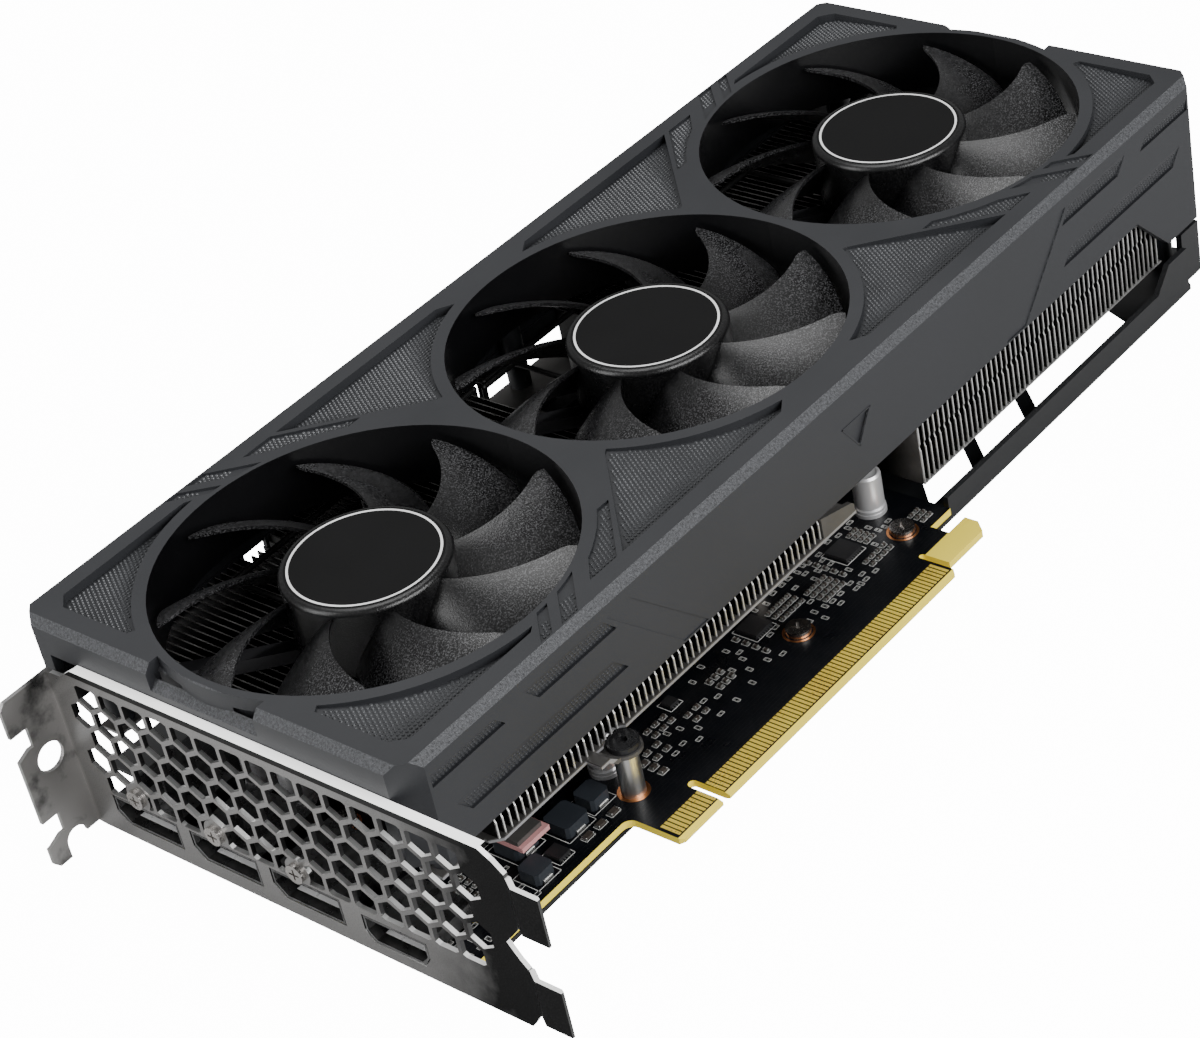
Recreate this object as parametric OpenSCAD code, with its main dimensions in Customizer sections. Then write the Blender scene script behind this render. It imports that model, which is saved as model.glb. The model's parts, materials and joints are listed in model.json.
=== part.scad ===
// Graphics card: two slots wide, three fans, with a short circuit board, a heat sink that runs on
// past the board's end, a shroud, a backplate and a steel slot bracket.
//
// Frame, in millimetres:
//   x = 0 at the outer face of the slot bracket, +X along the card towards its tail
//   y = 0 at the bottom of the edge tongue that enters the slot, +Y towards the power socket
//   z = 0 on the face of the circuit board that carries the chips, +Z towards the fans

/* [Shroud] */
// Front face of the shroud, behind the bracket
shroud_x0 = 2.1; // [2:0.1:2.6]
// Length of the shroud along the card
shroud_l = 248.6; // [247:0.1:250]
// Lower side of the shroud, near the slot
shroud_y0 = 15.2; // [14.8:0.1:15.6]
// Width of the shroud
shroud_w = 97.6; // [97:0.1:98.4]
// Height of the shroud's front plate above the circuit board
shroud_top = 42; // [41.6:0.1:43]
// Bottom edge of the shroud's long side walls
side_wall_low = 20; // [19.5:0.1:20.2]
// Bevel along the top edges
top_bevel = 1.6; // [1.2:0.1:1.8]
// Wall thickness of the shroud
shroud_wall = 1.8; // [1.5:0.1:2]
// Thickness of the shroud's front plate
plate_t = 2.8; // [2.6:0.1:3]

/* [Fans] */
// Distance from one fan centre to the next
fan_pitch = 81.6; // [81.4:0.1:82]
// Radius of a fan opening
opening_r = 39.7; // [39:0.1:39.8]
// Radius of the impeller over its blade tips
tip_r = 38.6; // [37.5:0.1:38.7]
// Radius of the impeller's hub
hub_r = 16; // [15.5:0.1:16.5]
// Number of blades on an impeller
blade_count = 9; // [7:1:11]
// Thickness of a blade
blade_t = 1.1; // [0.9:0.1:1.4]
// Radius of the motor shaft
shaft_r = 1.5; // [1.2:0.1:1.7]
// Radial running clearance of the shaft in its bearing
shaft_gap = 0.03; // [0.02:0.01:0.06]

/* [Circuit board] */
// Thickness of the circuit board
board_t = 1.57; // [1.5:0.01:1.6]
// Far end of the circuit board
board_end = 146.5; // [146:0.1:147]
// Lower edge of the board beside the edge tongue
board_low = 12.3; // [12:0.1:12.6]
// Upper edge of the board, below the bracket's flange
board_top = 103.6; // [102.5:0.1:104]
// Middle of the key notch, from the bracket's outer face
key_x = 58; // [57.9:0.05:58.1]
// Thickness of the gold plating as modelled
contact_t = 0.05; // [0.04:0.01:0.08]

/* [Bracket] */
// Sheet thickness of the bracket
sheet_t = 0.9; // [0.8:0.05:1]
// Width of the bracket over two slots
bracket_w = 38.74; // [38.5:0.01:39]
// Bottom edge of the bracket, below the board's chip face
bracket_z0 = -3.5; // [-3.6:0.1:-3.4]
// Outer face of the screw flange
flange_y = 106; // [105.6:0.1:106.4]
// Distance from the middle of one slot's tab to the next
slot_pitch = 20.32; // [20.3:0.01:20.34]
// Distance between vent hexagons
vent_pitch = 6.27; // [6.2:0.01:6.35]
// Width of the metal left between vents
vent_web = 0.95; // [0.8:0.05:1.2]

/* [Heat sink] */
// Distance from one fin to the next
fin_pitch = 1.7; // [1.6:0.05:1.9]
// Thickness of a fin
fin_t = 0.3; // [0.25:0.05:0.4]
// Radius of a heat pipe
pipe_r = 3; // [2.8:0.1:3]
// Height of the heat pipes' centres above the board
pipe_z = 8.7; // [8.6:0.1:8.8]
// Top of the fins
fin_top = 21; // [20:0.1:21]

/* [Backplate] */
// Thickness of the backplate sheet
back_t = 1; // [0.8:0.1:1.2]
// Outer face of the backplate below the board's chip face
back_z = -3.6; // [-3.7:0.1:-3.5]
// Lower edge of the backplate
back_y0 = 13; // [12.8:0.1:13.2]

/* [Hidden] */

$fn = 64;
eps = 0.01;

// Shroud: far faces, middle lines and the three fan centres.
shroud_x1 = shroud_x0 + shroud_l;
shroud_y1 = shroud_y0 + shroud_w;
mid_x = (shroud_x0 + shroud_x1) / 2;
mid_y = (shroud_y0 + shroud_y1) / 2;
fan_x = [mid_x - fan_pitch, mid_x, mid_x + fan_pitch];
corner_cut = 4.8;
tail_wall_low = 9.2;
tail_vent_top = 20;
lip_r = 42.4;
duct_t = 1;

// Heights inside a fan, from its frame up to its hub cap.
frame_low = 22.4;
frame_top = 24.4;
ear_top = 25.2;
duct_low = 28.6;
hub_low = 26.4;
hub_top = shroud_top - 0.9;
cap_t = 0.4;
ear_r = 43.5;

// Board: the edge tongue reaches from the first contact to the last.
contact_w = 0.7;
tongue_x0 = key_x - 12.6;
tongue_x1 = key_x + 72.6;
gpu = [83, 60];

// Cooler: the frame sheet lies on the pipes, and the fins stand on it.
frame_z = pipe_z + pipe_r + 0.05;
frame_t = 0.8;
fin_y0 = 18;
fin_y1 = 2 * mid_y - fin_y0;
main_fin_x = [20.6, 115];
fin_break = [52.7, 58.7];
tail_fin_x = [147, 234];
tail_fin_low = 3.6;
pipe_end = tail_fin_x[1] + 3;
base_low = 2.6;

// Board pillars, and the screws that hold board and shroud.
pillar = [51.5, 15.9];
pillar_top = 10;
far_pillar = [118.6, 98.5];
board_screw_at = [[101.7, 16.2], [136.3, 16.5], [19.5, 58], [141, 92]];
frame_boss_at = [[12, 23], [12, mid_y * 2 - 23], [119.5, 30], [131, mid_y * 2 - 20]];
tail_boss_at = [[243, 23], [243, mid_y * 2 - 23]];

// Display sockets: middles along the bracket.
dp_y = [89, 68.4, 47.8];
hdmi_y = 26.5;
port_z = 2.9;
bracket_screw_z = 8.5;

plastic = [0.2, 0.2, 0.21];
dark = [0.1, 0.1, 0.11];
metal = [0.72, 0.72, 0.73];
steel = [0.6, 0.6, 0.6];

// ---------------------------------------------------------------- helpers

// Extrude an outline drawn in Y and Z along +X.
module along_x(x0, len) {
    translate([x0, 0, 0]) rotate([90, 0, 90]) linear_extrude(len) children();
}

// Extrude an outline drawn in X and Z along +Y.
module along_y(y0, len) {
    translate([0, y0 + len, 0]) rotate([90, 0, 0]) linear_extrude(len) children();
}

// A block between two opposite corners.
module block(a, b) {
    translate(a) cube(b - a);
}

module tube(r_out, r_in, z0, z1) {
    translate([0, 0, z0]) difference() {
        cylinder(r = r_out, h = z1 - z0);
        translate([0, 0, -1]) cylinder(r = r_in, h = z1 - z0 + 2);
    }
}

// A pan head screw standing along +Z with its head at the bottom.
module screw_up(at, head_z, head_r, head_h, shank_r, tip_z) {
    translate([at.x, at.y, head_z]) difference() {
        union() {
            cylinder(r = head_r, h = head_h);
            cylinder(r = shank_r, h = tip_z - head_z);
        }
        for (turn = [0, 90])
            rotate([0, 0, turn]) translate([-head_r * 0.55, -0.2, -1]) cube([head_r * 1.1, 0.4, 1.5]);
    }
}

// The same shape copied to the opposite side of the card's long middle line.
module both_sides() {
    children();
    translate([0, 2 * mid_y, 0]) mirror([0, 1, 0]) children();
}

// The same shape copied to the opposite end of the shroud.
module both_ends() {
    children();
    translate([2 * mid_x, 0, 0]) mirror([1, 0, 0]) children();
}

// ---------------------------------------------------------------- circuit board

module board_outline() {
    fillet_r = 2;
    difference() {
        polygon([
            [1, board_low],
            for (a = [0:15:90]) [tongue_x0 - fillet_r * (1 - sin(a)), board_low - fillet_r * (1 - cos(a))],
            [tongue_x0, 0.8], [tongue_x0 + 0.8, 0],
            [tongue_x1 - 0.8, 0], [tongue_x1, 0.8], [tongue_x1, 2.6],
            [143.2, 2.6], [145.3, 5], [145.3, 8.1], [139.8, 8.1], [139.8, board_low],
            [board_end, board_low], [board_end, board_top], [1, board_top]
        ]);
        // Key notch in the tongue.
        translate([key_x, 7.5]) circle(r = 0.95);
        translate([key_x - 0.95, -1]) square([1.9, 8.5]);
        // Notch between the tongue and the retention hook.
        translate([tongue_x1 + 0.65, 8.4]) circle(r = 0.65);
        translate([tongue_x1, -1]) square([1.3, 9.4]);
        // Screw holes, pillar seats and the four holes for the cooler.
        for (p = concat(board_screw_at, [pillar, far_pillar]))
            translate(p) circle(r = 1.3);
        // Cut-out for the sunk HDMI socket.
        translate([0, hdmi_y - 7.7]) square([12.4, 15.4]);
        for (p = cooler_holes())
            translate(p) circle(r = 1.6);
    }
}

function cooler_holes() = [for (sx = [-1, 1], sy = [-1, 1]) gpu + [25.5 * sx, 27.5 * sy]];

module pcb() {
    color("#14181b") difference() {
        translate([0, 0, -board_t]) linear_extrude(board_t) board_outline();
        // The tongue's lead-in bevel, on both faces.
        along_x(tongue_x0 - 1, tongue_x1 - tongue_x0 + 2)
            polygon([[-1, 0.1], [1.2, 0.1], [1.2, 0], [0, -0.4], [-1, -0.4]]);
        along_x(tongue_x0 - 1, tongue_x1 - tongue_x0 + 2)
            polygon([[-1, -board_t - 0.1], [1.2, -board_t - 0.1], [1.2, -board_t],
                     [0, -board_t + 0.4], [-1, -board_t + 0.4]]);
    }
}

// Gold contacts: 11 before the key notch and 71 after it, on both faces.
module edge_contacts() {
    offsets = concat([for (i = [0:10]) i - 11.5], [for (i = [0:70]) i + 1.5]);
    color("#d8b45a") for (dx = offsets, z = [0, -board_t - contact_t])
        translate([key_x + dx - contact_w / 2, 1.3, z]) cube([contact_w, 4.3, contact_t]);
}

module gpu_package() {
    color("#1d3a2a") translate([gpu.x - 19, gpu.y - 19, 0]) cube([38, 38, 1.7]);
}

module gpu_die() {
    color("#4b4d52") translate([gpu.x - 9.5, gpu.y - 8.5, 1.7]) cube([19, 17, 0.8]);
}

module thermal_paste() {
    color("#a9a9a5") translate([gpu.x - 9.5, gpu.y - 8.5, 2.5]) cube([19, 17, base_low - 2.5]);
}

// Memory beside and above the processor, each package 14 by 12.
memory_at = [[gpu.x - 15, gpu.y + 21], [gpu.x + 1, gpu.y + 21],
             [gpu.x + 20.5, gpu.y - 12], [gpu.x + 20.5, gpu.y + 4]];

module memory_chips() {
    color(dark) for (i = [0:3])
        translate([memory_at[i].x, memory_at[i].y, 0]) cube(i < 2 ? [14, 12, 1.2] : [8.4, 14, 1.2]);
}

// Thermal pads: on the memory, and the long one between the column of chokes and the frame's plate.
choke_column_h = 3.2;

module thermal_pads() {
    color("#c9a3a0") {
        for (i = [0:3])
            translate([memory_at[i].x, memory_at[i].y, 1.2])
                cube(i < 2 ? [14, 9, base_low - 1.2] : [8, 14, base_low - 1.2]);
        block([choke_plate[0].x - 0.1, choke_plate[0].y - 1, choke_column_h],
              [choke_plate[1].x + 0.8, choke_plate[1].y + 0.5, choke_plate_z]);
    }
}

// Power chokes: a column beside the bracket, three near the tongue and two beyond the processor.
module choke(at, size, h) {
    bevel = 0.6;
    translate([at.x, at.y, 0]) linear_extrude(h) polygon([
        [bevel, 0], [size - bevel, 0], [size, bevel], [size, size - bevel],
        [size - bevel, size], [bevel, size], [0, size - bevel], [0, bevel]
    ]);
}

module inductors() {
    small_h = 2.4;
    color("#4a4d53") {
        for (i = [0:7]) choke([choke_plate[0].x + 0.1, 22.4 + 8.6 * i], 6.2, choke_column_h);
        choke([35.7, 17.9], 6.1, small_h);
        choke([23.7, 14.9], 4.8, small_h);
        choke([43.5, 18.6], 4.9, small_h);
        choke([120, 44], 7.4, 4.6);
        choke([120, 53], 7.4, 4.6);
    }
}

module power_stages() {
    color(dark) {
        for (i = [0:6]) translate([35.2, 31 + 8.6 * i, 0]) cube([6, 6, 1]);
        for (i = [0:1]) translate([130.5, 44.8 + 9 * i, 0]) cube([6, 6, 1]);
    }
}

// Polymer capacitors: rounded metal cans on black bases.
capacitor_at = [[53.8, 24.4], [139.3, 26.2], [20.4, 70], [20.4, 80], [48.6, 44], [48.6, 54], [48.6, 64]];

module capacitors() {
    r = 3.15;
    h = 8.5;
    for (p = capacitor_at) translate([p.x, p.y, 0]) {
        color(dark) cylinder(r = r + 0.1, h = 0.8);
        // Can with a crimped groove above its foot and a shallow rim round its top.
        color(metal) translate([0, 0, 0.8]) rotate_extrude() polygon([
            [0, 0], [r, 0], [r, 0.7], [r - 0.3, 1], [r - 0.15, 1.3], [r - 0.15, h - 0.5],
            [r - 0.5, h], [r - 0.8, h], [r - 0.95, h - 0.3], [0, h - 0.3]
        ]);
    }
}

module controller_chips() {
    color(dark) {
        translate([96.2, 22, 0]) cube([5, 5, 0.9]);
        translate([123, 20.4, 0]) cube([5.2, 5.2, 0.9]);
        translate([72.5, 24, 0]) cube([2.4, 2.4, 0.8]);
        translate([16, 40, 0]) cube([7, 7, 0.9]);
        translate([30.4, 15.6, 0]) cube([3, 3.6, 0.9]);
        translate([62, 94, 0]) cube([6, 5, 0.9]);
        translate([72, 94.5, 0]) cube([5, 4, 1.2]);
    }
}

// Small parts: clusters of chips and resistors between the tongue and the cooler.
module cluster(at, columns, rows, step, size) {
    for (c = [0:columns - 1], r = [0:rows - 1])
        translate([at.x + c * step.x, at.y + r * step.y, 0]) cube([size.x, size.y, 0.55]);
}

module small_components() {
    color("#8d7f6a") {
        cluster([37, 15], 3, 1, [3.6, 1], [2.1, 1.1]);
        cluster([57.4, 14], 1, 3, [1, 2.2], [1.5, 0.9]);
        cluster([60, 17.4], 2, 2, [2.8, 2.4], [1.2, 0.7]);
        cluster([64.8, 21.6], 3, 2, [2.3, 2], [1.1, 0.6]);
        cluster([72, 17.6], 2, 2, [2.6, 2.2], [1.1, 0.6]);
        cluster([81.6, 19.2], 3, 2, [1.7, 2.6], [0.7, 1.1]);
        cluster([94, 17.8], 1, 4, [1, 2.4], [0.6, 1.1]);
        cluster([103, 21], 5, 3, [1.5, 1.7], [0.9, 0.5]);
        cluster([119.5, 18.5], 1, 5, [1, 2.1], [0.6, 1]);
        cluster([111.6, 17], 4, 4, [1.7, 1.5], [1, 0.5]);
        cluster([130, 20.6], 2, 4, [1.7, 1.4], [1, 0.5]);
        cluster([124.6, 15.4], 4, 2, [1.9, 1.6], [1, 0.5]);
        cluster([140.6, 14.6], 2, 3, [1.8, 1.5], [1, 0.5]);
        cluster([14.5, 20], 3, 6, [1.9, 1.7], [1, 0.5]);
    }
}

// ---------------------------------------------------------------- sockets

// Power socket: two rows of four cells, open towards +Y.
socket_x0 = 121;
socket_y = [96, 109.6];
socket_z = [0.4, 10];
cell = 4.2;

module power_socket() {
    color(dark) {
        difference() {
            block([socket_x0, socket_y[0], socket_z[0]], [socket_x0 + 18.6, socket_y[1], socket_z[1]]);
            for (c = [0:3], r = [0:1])
                translate([socket_x0 + 1.1 + c * cell, socket_y[0] + 2.2, socket_z[0] + 0.8 + r * cell])
                    cube([3.6, 20, 3.6]);
        }
        block([socket_x0 + 7.2, socket_y[0] + 4, socket_z[1]],
              [socket_x0 + 11.4, socket_y[1] - 4.2, socket_z[1] + 0.8]);
    }
}

module power_pins() {
    color("#c9a94f") for (c = [0:3], r = [0:1])
        translate([socket_x0 + 2.9 + c * cell, socket_y[0] + 2.2, socket_z[0] + 2.6 + r * cell])
            rotate([-90, 0, 0]) cylinder(r = 0.65, h = 9);
}

fan_socket_x = [88, 98, 108];

module fan_sockets() {
    color("#d9d5c8") for (x = fan_socket_x) difference() {
        block([x - 3, 98.6, 0], [x + 3, 103.2, 3.8]);
        block([x - 2.3, 99.6, 0.8], [x + 2.3, 104, 3.2]);
    }
}

// DisplayPort opening: a rectangle with one cut corner on its upper side.
module dp_outline(half_w, half_h) {
    cut = 2.4;
    polygon([[-half_w, -half_h], [half_w - cut, -half_h], [half_w, -half_h + cut],
             [half_w, half_h], [-half_w, half_h]]);
}

module displayport_shells() {
    color(metal) for (y = dp_y) {
        difference() {
            along_x(0.1, 15) translate([y, port_z]) dp_outline(8.4, 2.85);
            along_x(0, 13.5) translate([y, port_z]) dp_outline(8, 2.45);
        }
        // Screw lug above the shell.
        difference() {
            block([sheet_t, y - 1.4, port_z + 2.85], [sheet_t + 4, y + 2.6, bracket_screw_z + 1.9]);
            along_x(0, 12) translate([y + 0.6, bracket_screw_z]) circle(r = 1);
        }
    }
}

module displayport_tongues() {
    color(dark) for (y = dp_y)
        block([2.4, y - 6.4, port_z - 0.5], [13.5, y + 6.4, port_z + 0.6]);
}

// HDMI opening: wide at the top, drawn in at its lower corners.
module hdmi_outline(grow) {
    polygon([[-7 - grow, 2.3 + grow], [-7 - grow, -0.6], [-5.4 - grow, -2.3 - grow],
             [5.4 + grow, -2.3 - grow], [7 + grow, -0.6], [7 + grow, 2.3 + grow]]);
}

module hdmi_shell() {
    color(metal) difference() {
        along_x(0.1, 12) translate([hdmi_y, port_z - 0.9]) hdmi_outline(0.45);
        along_x(0, 10.6) translate([hdmi_y, port_z - 0.9]) hdmi_outline(0);
    }
}

module hdmi_tongue() {
    color(dark) block([2, hdmi_y - 5.4, port_z - 1.4], [10.6, hdmi_y + 5.4, port_z - 0.4]);
}

// ---------------------------------------------------------------- bracket

// Vent field: five rows of hexagons, the first and last cut straight.
module vent_holes() {
    row_step = vent_pitch * sin(60);
    hex_r = (vent_pitch - vent_web) / 2 / cos(30);
    difference() {
        intersection() {
            union() {
                for (row = [0:4], i = [0:15]) {
                    shifted = row % 2;
                    if (i < 15 + shifted)
                        translate([7.1 - shifted * vent_pitch / 2 + i * vent_pitch,
                                   bracket_screw_z + row * row_step])
                            rotate(30) circle(r = hex_r, $fn = 6);
                }
            }
            translate([0, 6.5]) square([105, 25.7]);
        }
        for (y = dp_y) translate([y + 0.6, bracket_screw_z]) circle(r = 3);
    }
}

module bracket_face() {
    top_z = bracket_z0 + bracket_w;
    difference() {
        polygon([
            [flange_y - sheet_t, bracket_z0 + 0.2], [flange_y - sheet_t, 32.5], [101, 32.8],
            [97.5, top_z], [-1, top_z], [-3.6, 33.6], [-5.8, 31.6], [-5.8, 19.8], [-4.6, 18.2],
            [-2.2, 15.4], [-4.4, 12.2], [-5.8, 10.7], [-5.8, 0.2], [-3.2, bracket_z0],
            [103, bracket_z0]
        ]);
        vent_holes();
        for (y = dp_y) translate([y, port_z]) dp_outline(8.7, 3.1);
        translate([hdmi_y, port_z - 0.9]) hdmi_outline(0.7);
        for (y = dp_y) translate([y + 0.6, bracket_screw_z]) circle(r = 1.1);
    }
}

// A tab that steps outwards by more than the sheet's thickness.
module bracket_tab(z0) {
    step = 1.4;
    low = -14;
    translate([0, 0, z0]) linear_extrude(10.19) polygon([
        [0, -5.7], [sheet_t, -5.7], [sheet_t, -6.4], [sheet_t - step, -8.6], [sheet_t - step, low + 0.6],
        [sheet_t - step - 0.3, low], [-step, low], [-step, -8.2], [0, -6]
    ]);
}

// Screw flange: two open slots on the card slot pitch, a round hole and a relieved lower corner.
flange_hole = [-4.9, 16.05];
flange_hole_r = 3;

module flange_outline() {
    slot_z = 2.3;
    slot_w = 4.4;
    difference() {
        polygon([
            [sheet_t, bracket_z0 + 0.2], [-2.8, -3.3], [-2.8, -6.2], [-10.8, -6.2], [-12, -4.8],
            [-12, -0.6], [-11.4, 0], [-11.4, 31.2], [-10.2, 32.5], [sheet_t, 32.5]
        ]);
        for (z = [slot_z, slot_z + slot_pitch]) {
            translate([-14, z - slot_w / 2]) square([14 - 7.5, slot_w]);
            polygon([[-13, z - slot_w / 2 - 1.6], [-11.2, z - slot_w / 2 - 1.2],
                     [-8.4, z - slot_w / 2 + 0.1], [-13, z - slot_w / 2 + 0.1]]);
        }
        translate(flange_hole) circle(r = flange_hole_r);
        translate([-5.4, -3.4]) circle(r = 2.5);
        translate([-7.9, -8]) square([5.2, 4.6]);
    }
}

module slot_bracket() {
    lip_d = 2;
    color("#8f8f90") union() {
        along_x(0, sheet_t) bracket_face();
        along_y(flange_y - sheet_t, sheet_t) flange_outline();
        // Stiffening lip along the top edge.
        block([0, -1, bracket_z0 + bracket_w - sheet_t], [lip_d, 97.4, bracket_z0 + bracket_w]);
        bracket_tab(0.3);
        bracket_tab(0.3 + slot_pitch);
        // Board ear: folded back from the face and riveted under the board.
        block([0, 98.8, back_z + back_t + 0.1], [8, 102.8, -board_t]);
    }
}

module bracket_screws() {
    color(metal) for (y = dp_y) translate([0, y + 0.6, bracket_screw_z]) rotate([0, 90, 0]) difference() {
        union() {
            translate([0, 0, -1]) cylinder(r = 2, h = 1);
            translate([0, 0, -0.2]) cylinder(r = 0.98, h = 5);
        }
        for (turn = [0, 90]) rotate([0, 0, turn]) translate([-1.2, -0.2, -1.5]) cube([2.4, 0.4, 1]);
    }
}

// ---------------------------------------------------------------- backplate

tail_window_x = [148, 221];
bar_x = [164, 183];
window_y = [18.3, 108.7];
window_slant = 8;

// A bar across the tail windows: it leans over at both ends.
module window_bar(x, w) {
    polygon([
        [x - w / 2, window_y[0] - 1], [x + w / 2, window_y[0] - 1],
        [x + w / 2 + window_slant, window_y[0] + window_slant],
        [x + w / 2 + window_slant, window_y[1] - window_slant],
        [x + w / 2, window_y[1] + 1], [x - w / 2, window_y[1] + 1],
        [x - w / 2 + window_slant, window_y[1] - window_slant],
        [x - w / 2 + window_slant, window_y[0] + window_slant]
    ]);
}

module tail_windows() {
    difference() {
        polygon([
            [tail_window_x[0], window_y[0]], [tail_window_x[1], window_y[0]],
            [tail_window_x[1] + 4, window_y[0] + 10], [tail_window_x[1] + 4, window_y[1] - 10],
            [tail_window_x[1], window_y[1]], [tail_window_x[0], window_y[1]],
            [tail_window_x[0] + window_slant, window_y[1] - window_slant],
            [tail_window_x[0] + window_slant, window_y[0] + window_slant]
        ]);
        for (x = bar_x) window_bar(x, 4);
    }
}

module backplate_outline() {
    y1 = 2 * mid_y - back_y0;
    difference() {
        polygon([
            [1.2, back_y0], [238, back_y0], [240, shroud_y0], [shroud_x1 - corner_cut, shroud_y0],
            [shroud_x1 - 1, shroud_y0 + corner_cut - 1], [shroud_x1 - 1, shroud_y1 - corner_cut + 1],
            [shroud_x1 - corner_cut, shroud_y1], [240, shroud_y1], [238, y1], [12, y1],
            [12, 104.4], [1.2, 104.4]
        ]);
        tail_windows();
        // Vents behind the processor's power stages.
        for (i = [0:6]) translate([14 + 4.6 * i, 40]) polygon([[0, 0], [1.8, 0], [13.8, 12], [13.8, 40],
                                                                [12, 40], [12, 13]]);
        // Openings over the cooler's screws.
        for (p = cooler_holes()) translate(p) circle(r = 4);
        for (p = tail_boss_at) translate(p) circle(r = 1.2);
        for (p = board_screw_at) translate(p) circle(r = 1.2);
    }
}

// Raised rim along the tail's long sides: low beside the windows, tall at the corner.
module backplate_rim() {
    rim_t = 1.2;
    along_y(back_y0, rim_t) polygon([
        [147, back_z], [147, 1.9], [225.5, 1.9], [230.4, 6.8], [237.4, 6.8], [237.4, back_z]
    ]);
    along_y(shroud_y0, 1.4) polygon([
        [239.2, back_z], [239.2, 8.4], [shroud_x1 - corner_cut, 8.4], [shroud_x1 - corner_cut, back_z]
    ]);
}

module backplate() {
    color(dark) union() {
        translate([0, 0, back_z]) linear_extrude(back_t) backplate_outline();
        both_sides() backplate_rim();
        // Spacer posts between backplate and board.
        for (p = board_screw_at) translate([p.x, p.y, 0])
            tube(2.6, 1.2, back_z, -board_t);
    }
}

module backplate_screws() {
    color(steel) for (p = tail_boss_at) screw_up(p, back_z - 0.9, 2.1, 0.9, 0.9, 6);
}

module board_screws() {
    color(steel) for (p = board_screw_at) translate([p.x, p.y, 0]) difference() {
        union() {
            cylinder(r = 2.5, h = 1.3);
            translate([0, 0, -3.4]) cylinder(r = 1.15, h = 3.5);
        }
        for (turn = [45, 135])
            rotate([0, 0, turn]) translate([-1.3, -0.25, 0.6]) cube([2.6, 0.5, 2]);
    }
}

// ---------------------------------------------------------------- cooler

pipe_y = [38, 50, 62, 74, 86];
pipe_x0 = 58;

// Five straight pipes with drawn-in, sealed ends.
module heat_pipes() {
    tip = 2.5;
    tip_r = 1.2;
    color("#b9b4ad") for (y = pipe_y) translate([0, y, pipe_z]) rotate([0, 90, 0]) {
        translate([0, 0, pipe_x0]) cylinder(r = pipe_r, h = pipe_end - pipe_x0);
        translate([0, 0, pipe_x0 - tip]) cylinder(r1 = tip_r, r2 = pipe_r, h = tip);
        translate([0, 0, pipe_end]) cylinder(r1 = pipe_r, r2 = tip_r, h = tip);
    }
}

module base_block() {
    color("#b5b2ac") difference() {
        union() {
            block([gpu.x - 23, gpu.y - 24, base_low], [gpu.x + 30, gpu.y + 31, pipe_z]);
            block([gpu.x - 29, gpu.y - 31, 4.6], [gpu.x + 30, gpu.y + 31, pipe_z]);
            for (p = cooler_holes()) translate([p.x, p.y, 0]) cylinder(r = 3, h = 5);
        }
        for (p = cooler_holes()) translate([p.x, p.y, -1]) cylinder(r = 1.25, h = 6.2);
        for (y = pipe_y)
            translate([50, y, pipe_z]) rotate([0, 90, 0]) cylinder(r = pipe_r, h = 80);
    }
}

// Plate that presses the long pad on to the chokes: its lower left and upper right corners.
choke_plate = [[26.8, 21.2], [33.2, 90.5]];
choke_plate_z = 4.2;

// Sheet under the main fins, with arms out to the shroud's bosses.
module frame_sheet() {
    sheet_y0 = fin_y0 - 0.4;
    cable_y = 102.2;
    difference() {
        union() {
            polygon([
                [21.4, sheet_y0], [125, sheet_y0], [125, cable_y], [main_fin_x[1] - 1.2, cable_y],
                [main_fin_x[1] - 1.2, fin_y1], [19.4, fin_y1], [19.4, sheet_y0 + 2]
            ]);
            translate([8.6, fin_y0 + 2.5]) square([12, 5.5]);
            translate([8.6, fin_y1 - 8]) square([12, 5.5]);
            translate([119.8, fin_y1 - 9]) square([26.8, 9.6]);
        }
        for (p = concat([far_pillar], frame_boss_at)) translate(p) circle(r = 1.3);
        translate(pillar) circle(r = 3.6);
        // Window that lets the fan blow on to the board.
        translate([34, 30]) square([12, 60]);
    }
}

// Arm that steps down from the sheet's edge to a ring under the near pillar's cap.
module pillar_arm() {
    arm_y = pillar.y - 1.8;
    drop_x = 45.6;
    difference() {
        union() {
            along_y(arm_y, fin_y0 + 0.4 - arm_y) polygon([
                [drop_x - 2, frame_z], [drop_x, frame_z], [drop_x + 2, pillar_top],
                [pillar.x, pillar_top], [pillar.x, pillar_top + frame_t],
                [drop_x + 2.4, pillar_top + frame_t], [drop_x + 0.4, frame_z + frame_t],
                [drop_x - 2, frame_z + frame_t]
            ]);
            translate([pillar.x, pillar.y, pillar_top]) cylinder(r = 3.5, h = frame_t);
        }
        translate([pillar.x, pillar.y, pillar_top - 1]) cylinder(r = 1.3, h = 3);
    }
}

module cooler_frame() {
    web_t = 0.8;
    gusset_x = main_fin_x[1] - 0.3;
    color(metal) union() {
        translate([0, 0, frame_z]) linear_extrude(frame_t) frame_sheet();
        pillar_arm();
        // Plate over the chokes, hung from the sheet by an upright web.
        block([choke_plate[0].x, choke_plate[0].y, choke_plate_z],
              [choke_plate[1].x, choke_plate[1].y, choke_plate_z + 1]);
        block([choke_plate[1].x - web_t, 30, choke_plate_z + 0.5], [choke_plate[1].x, 88, frame_z + 0.4]);
        // Upright gusset at the end of the fins.
        along_y(fin_y0 - 0.4, 1) polygon([
            [gusset_x, frame_z + 0.4], [gusset_x + 10, frame_z + 0.4], [gusset_x + 10, 14],
            [gusset_x + 9.4, 14.6], [gusset_x, 17]
        ]);
    }
}

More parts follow.
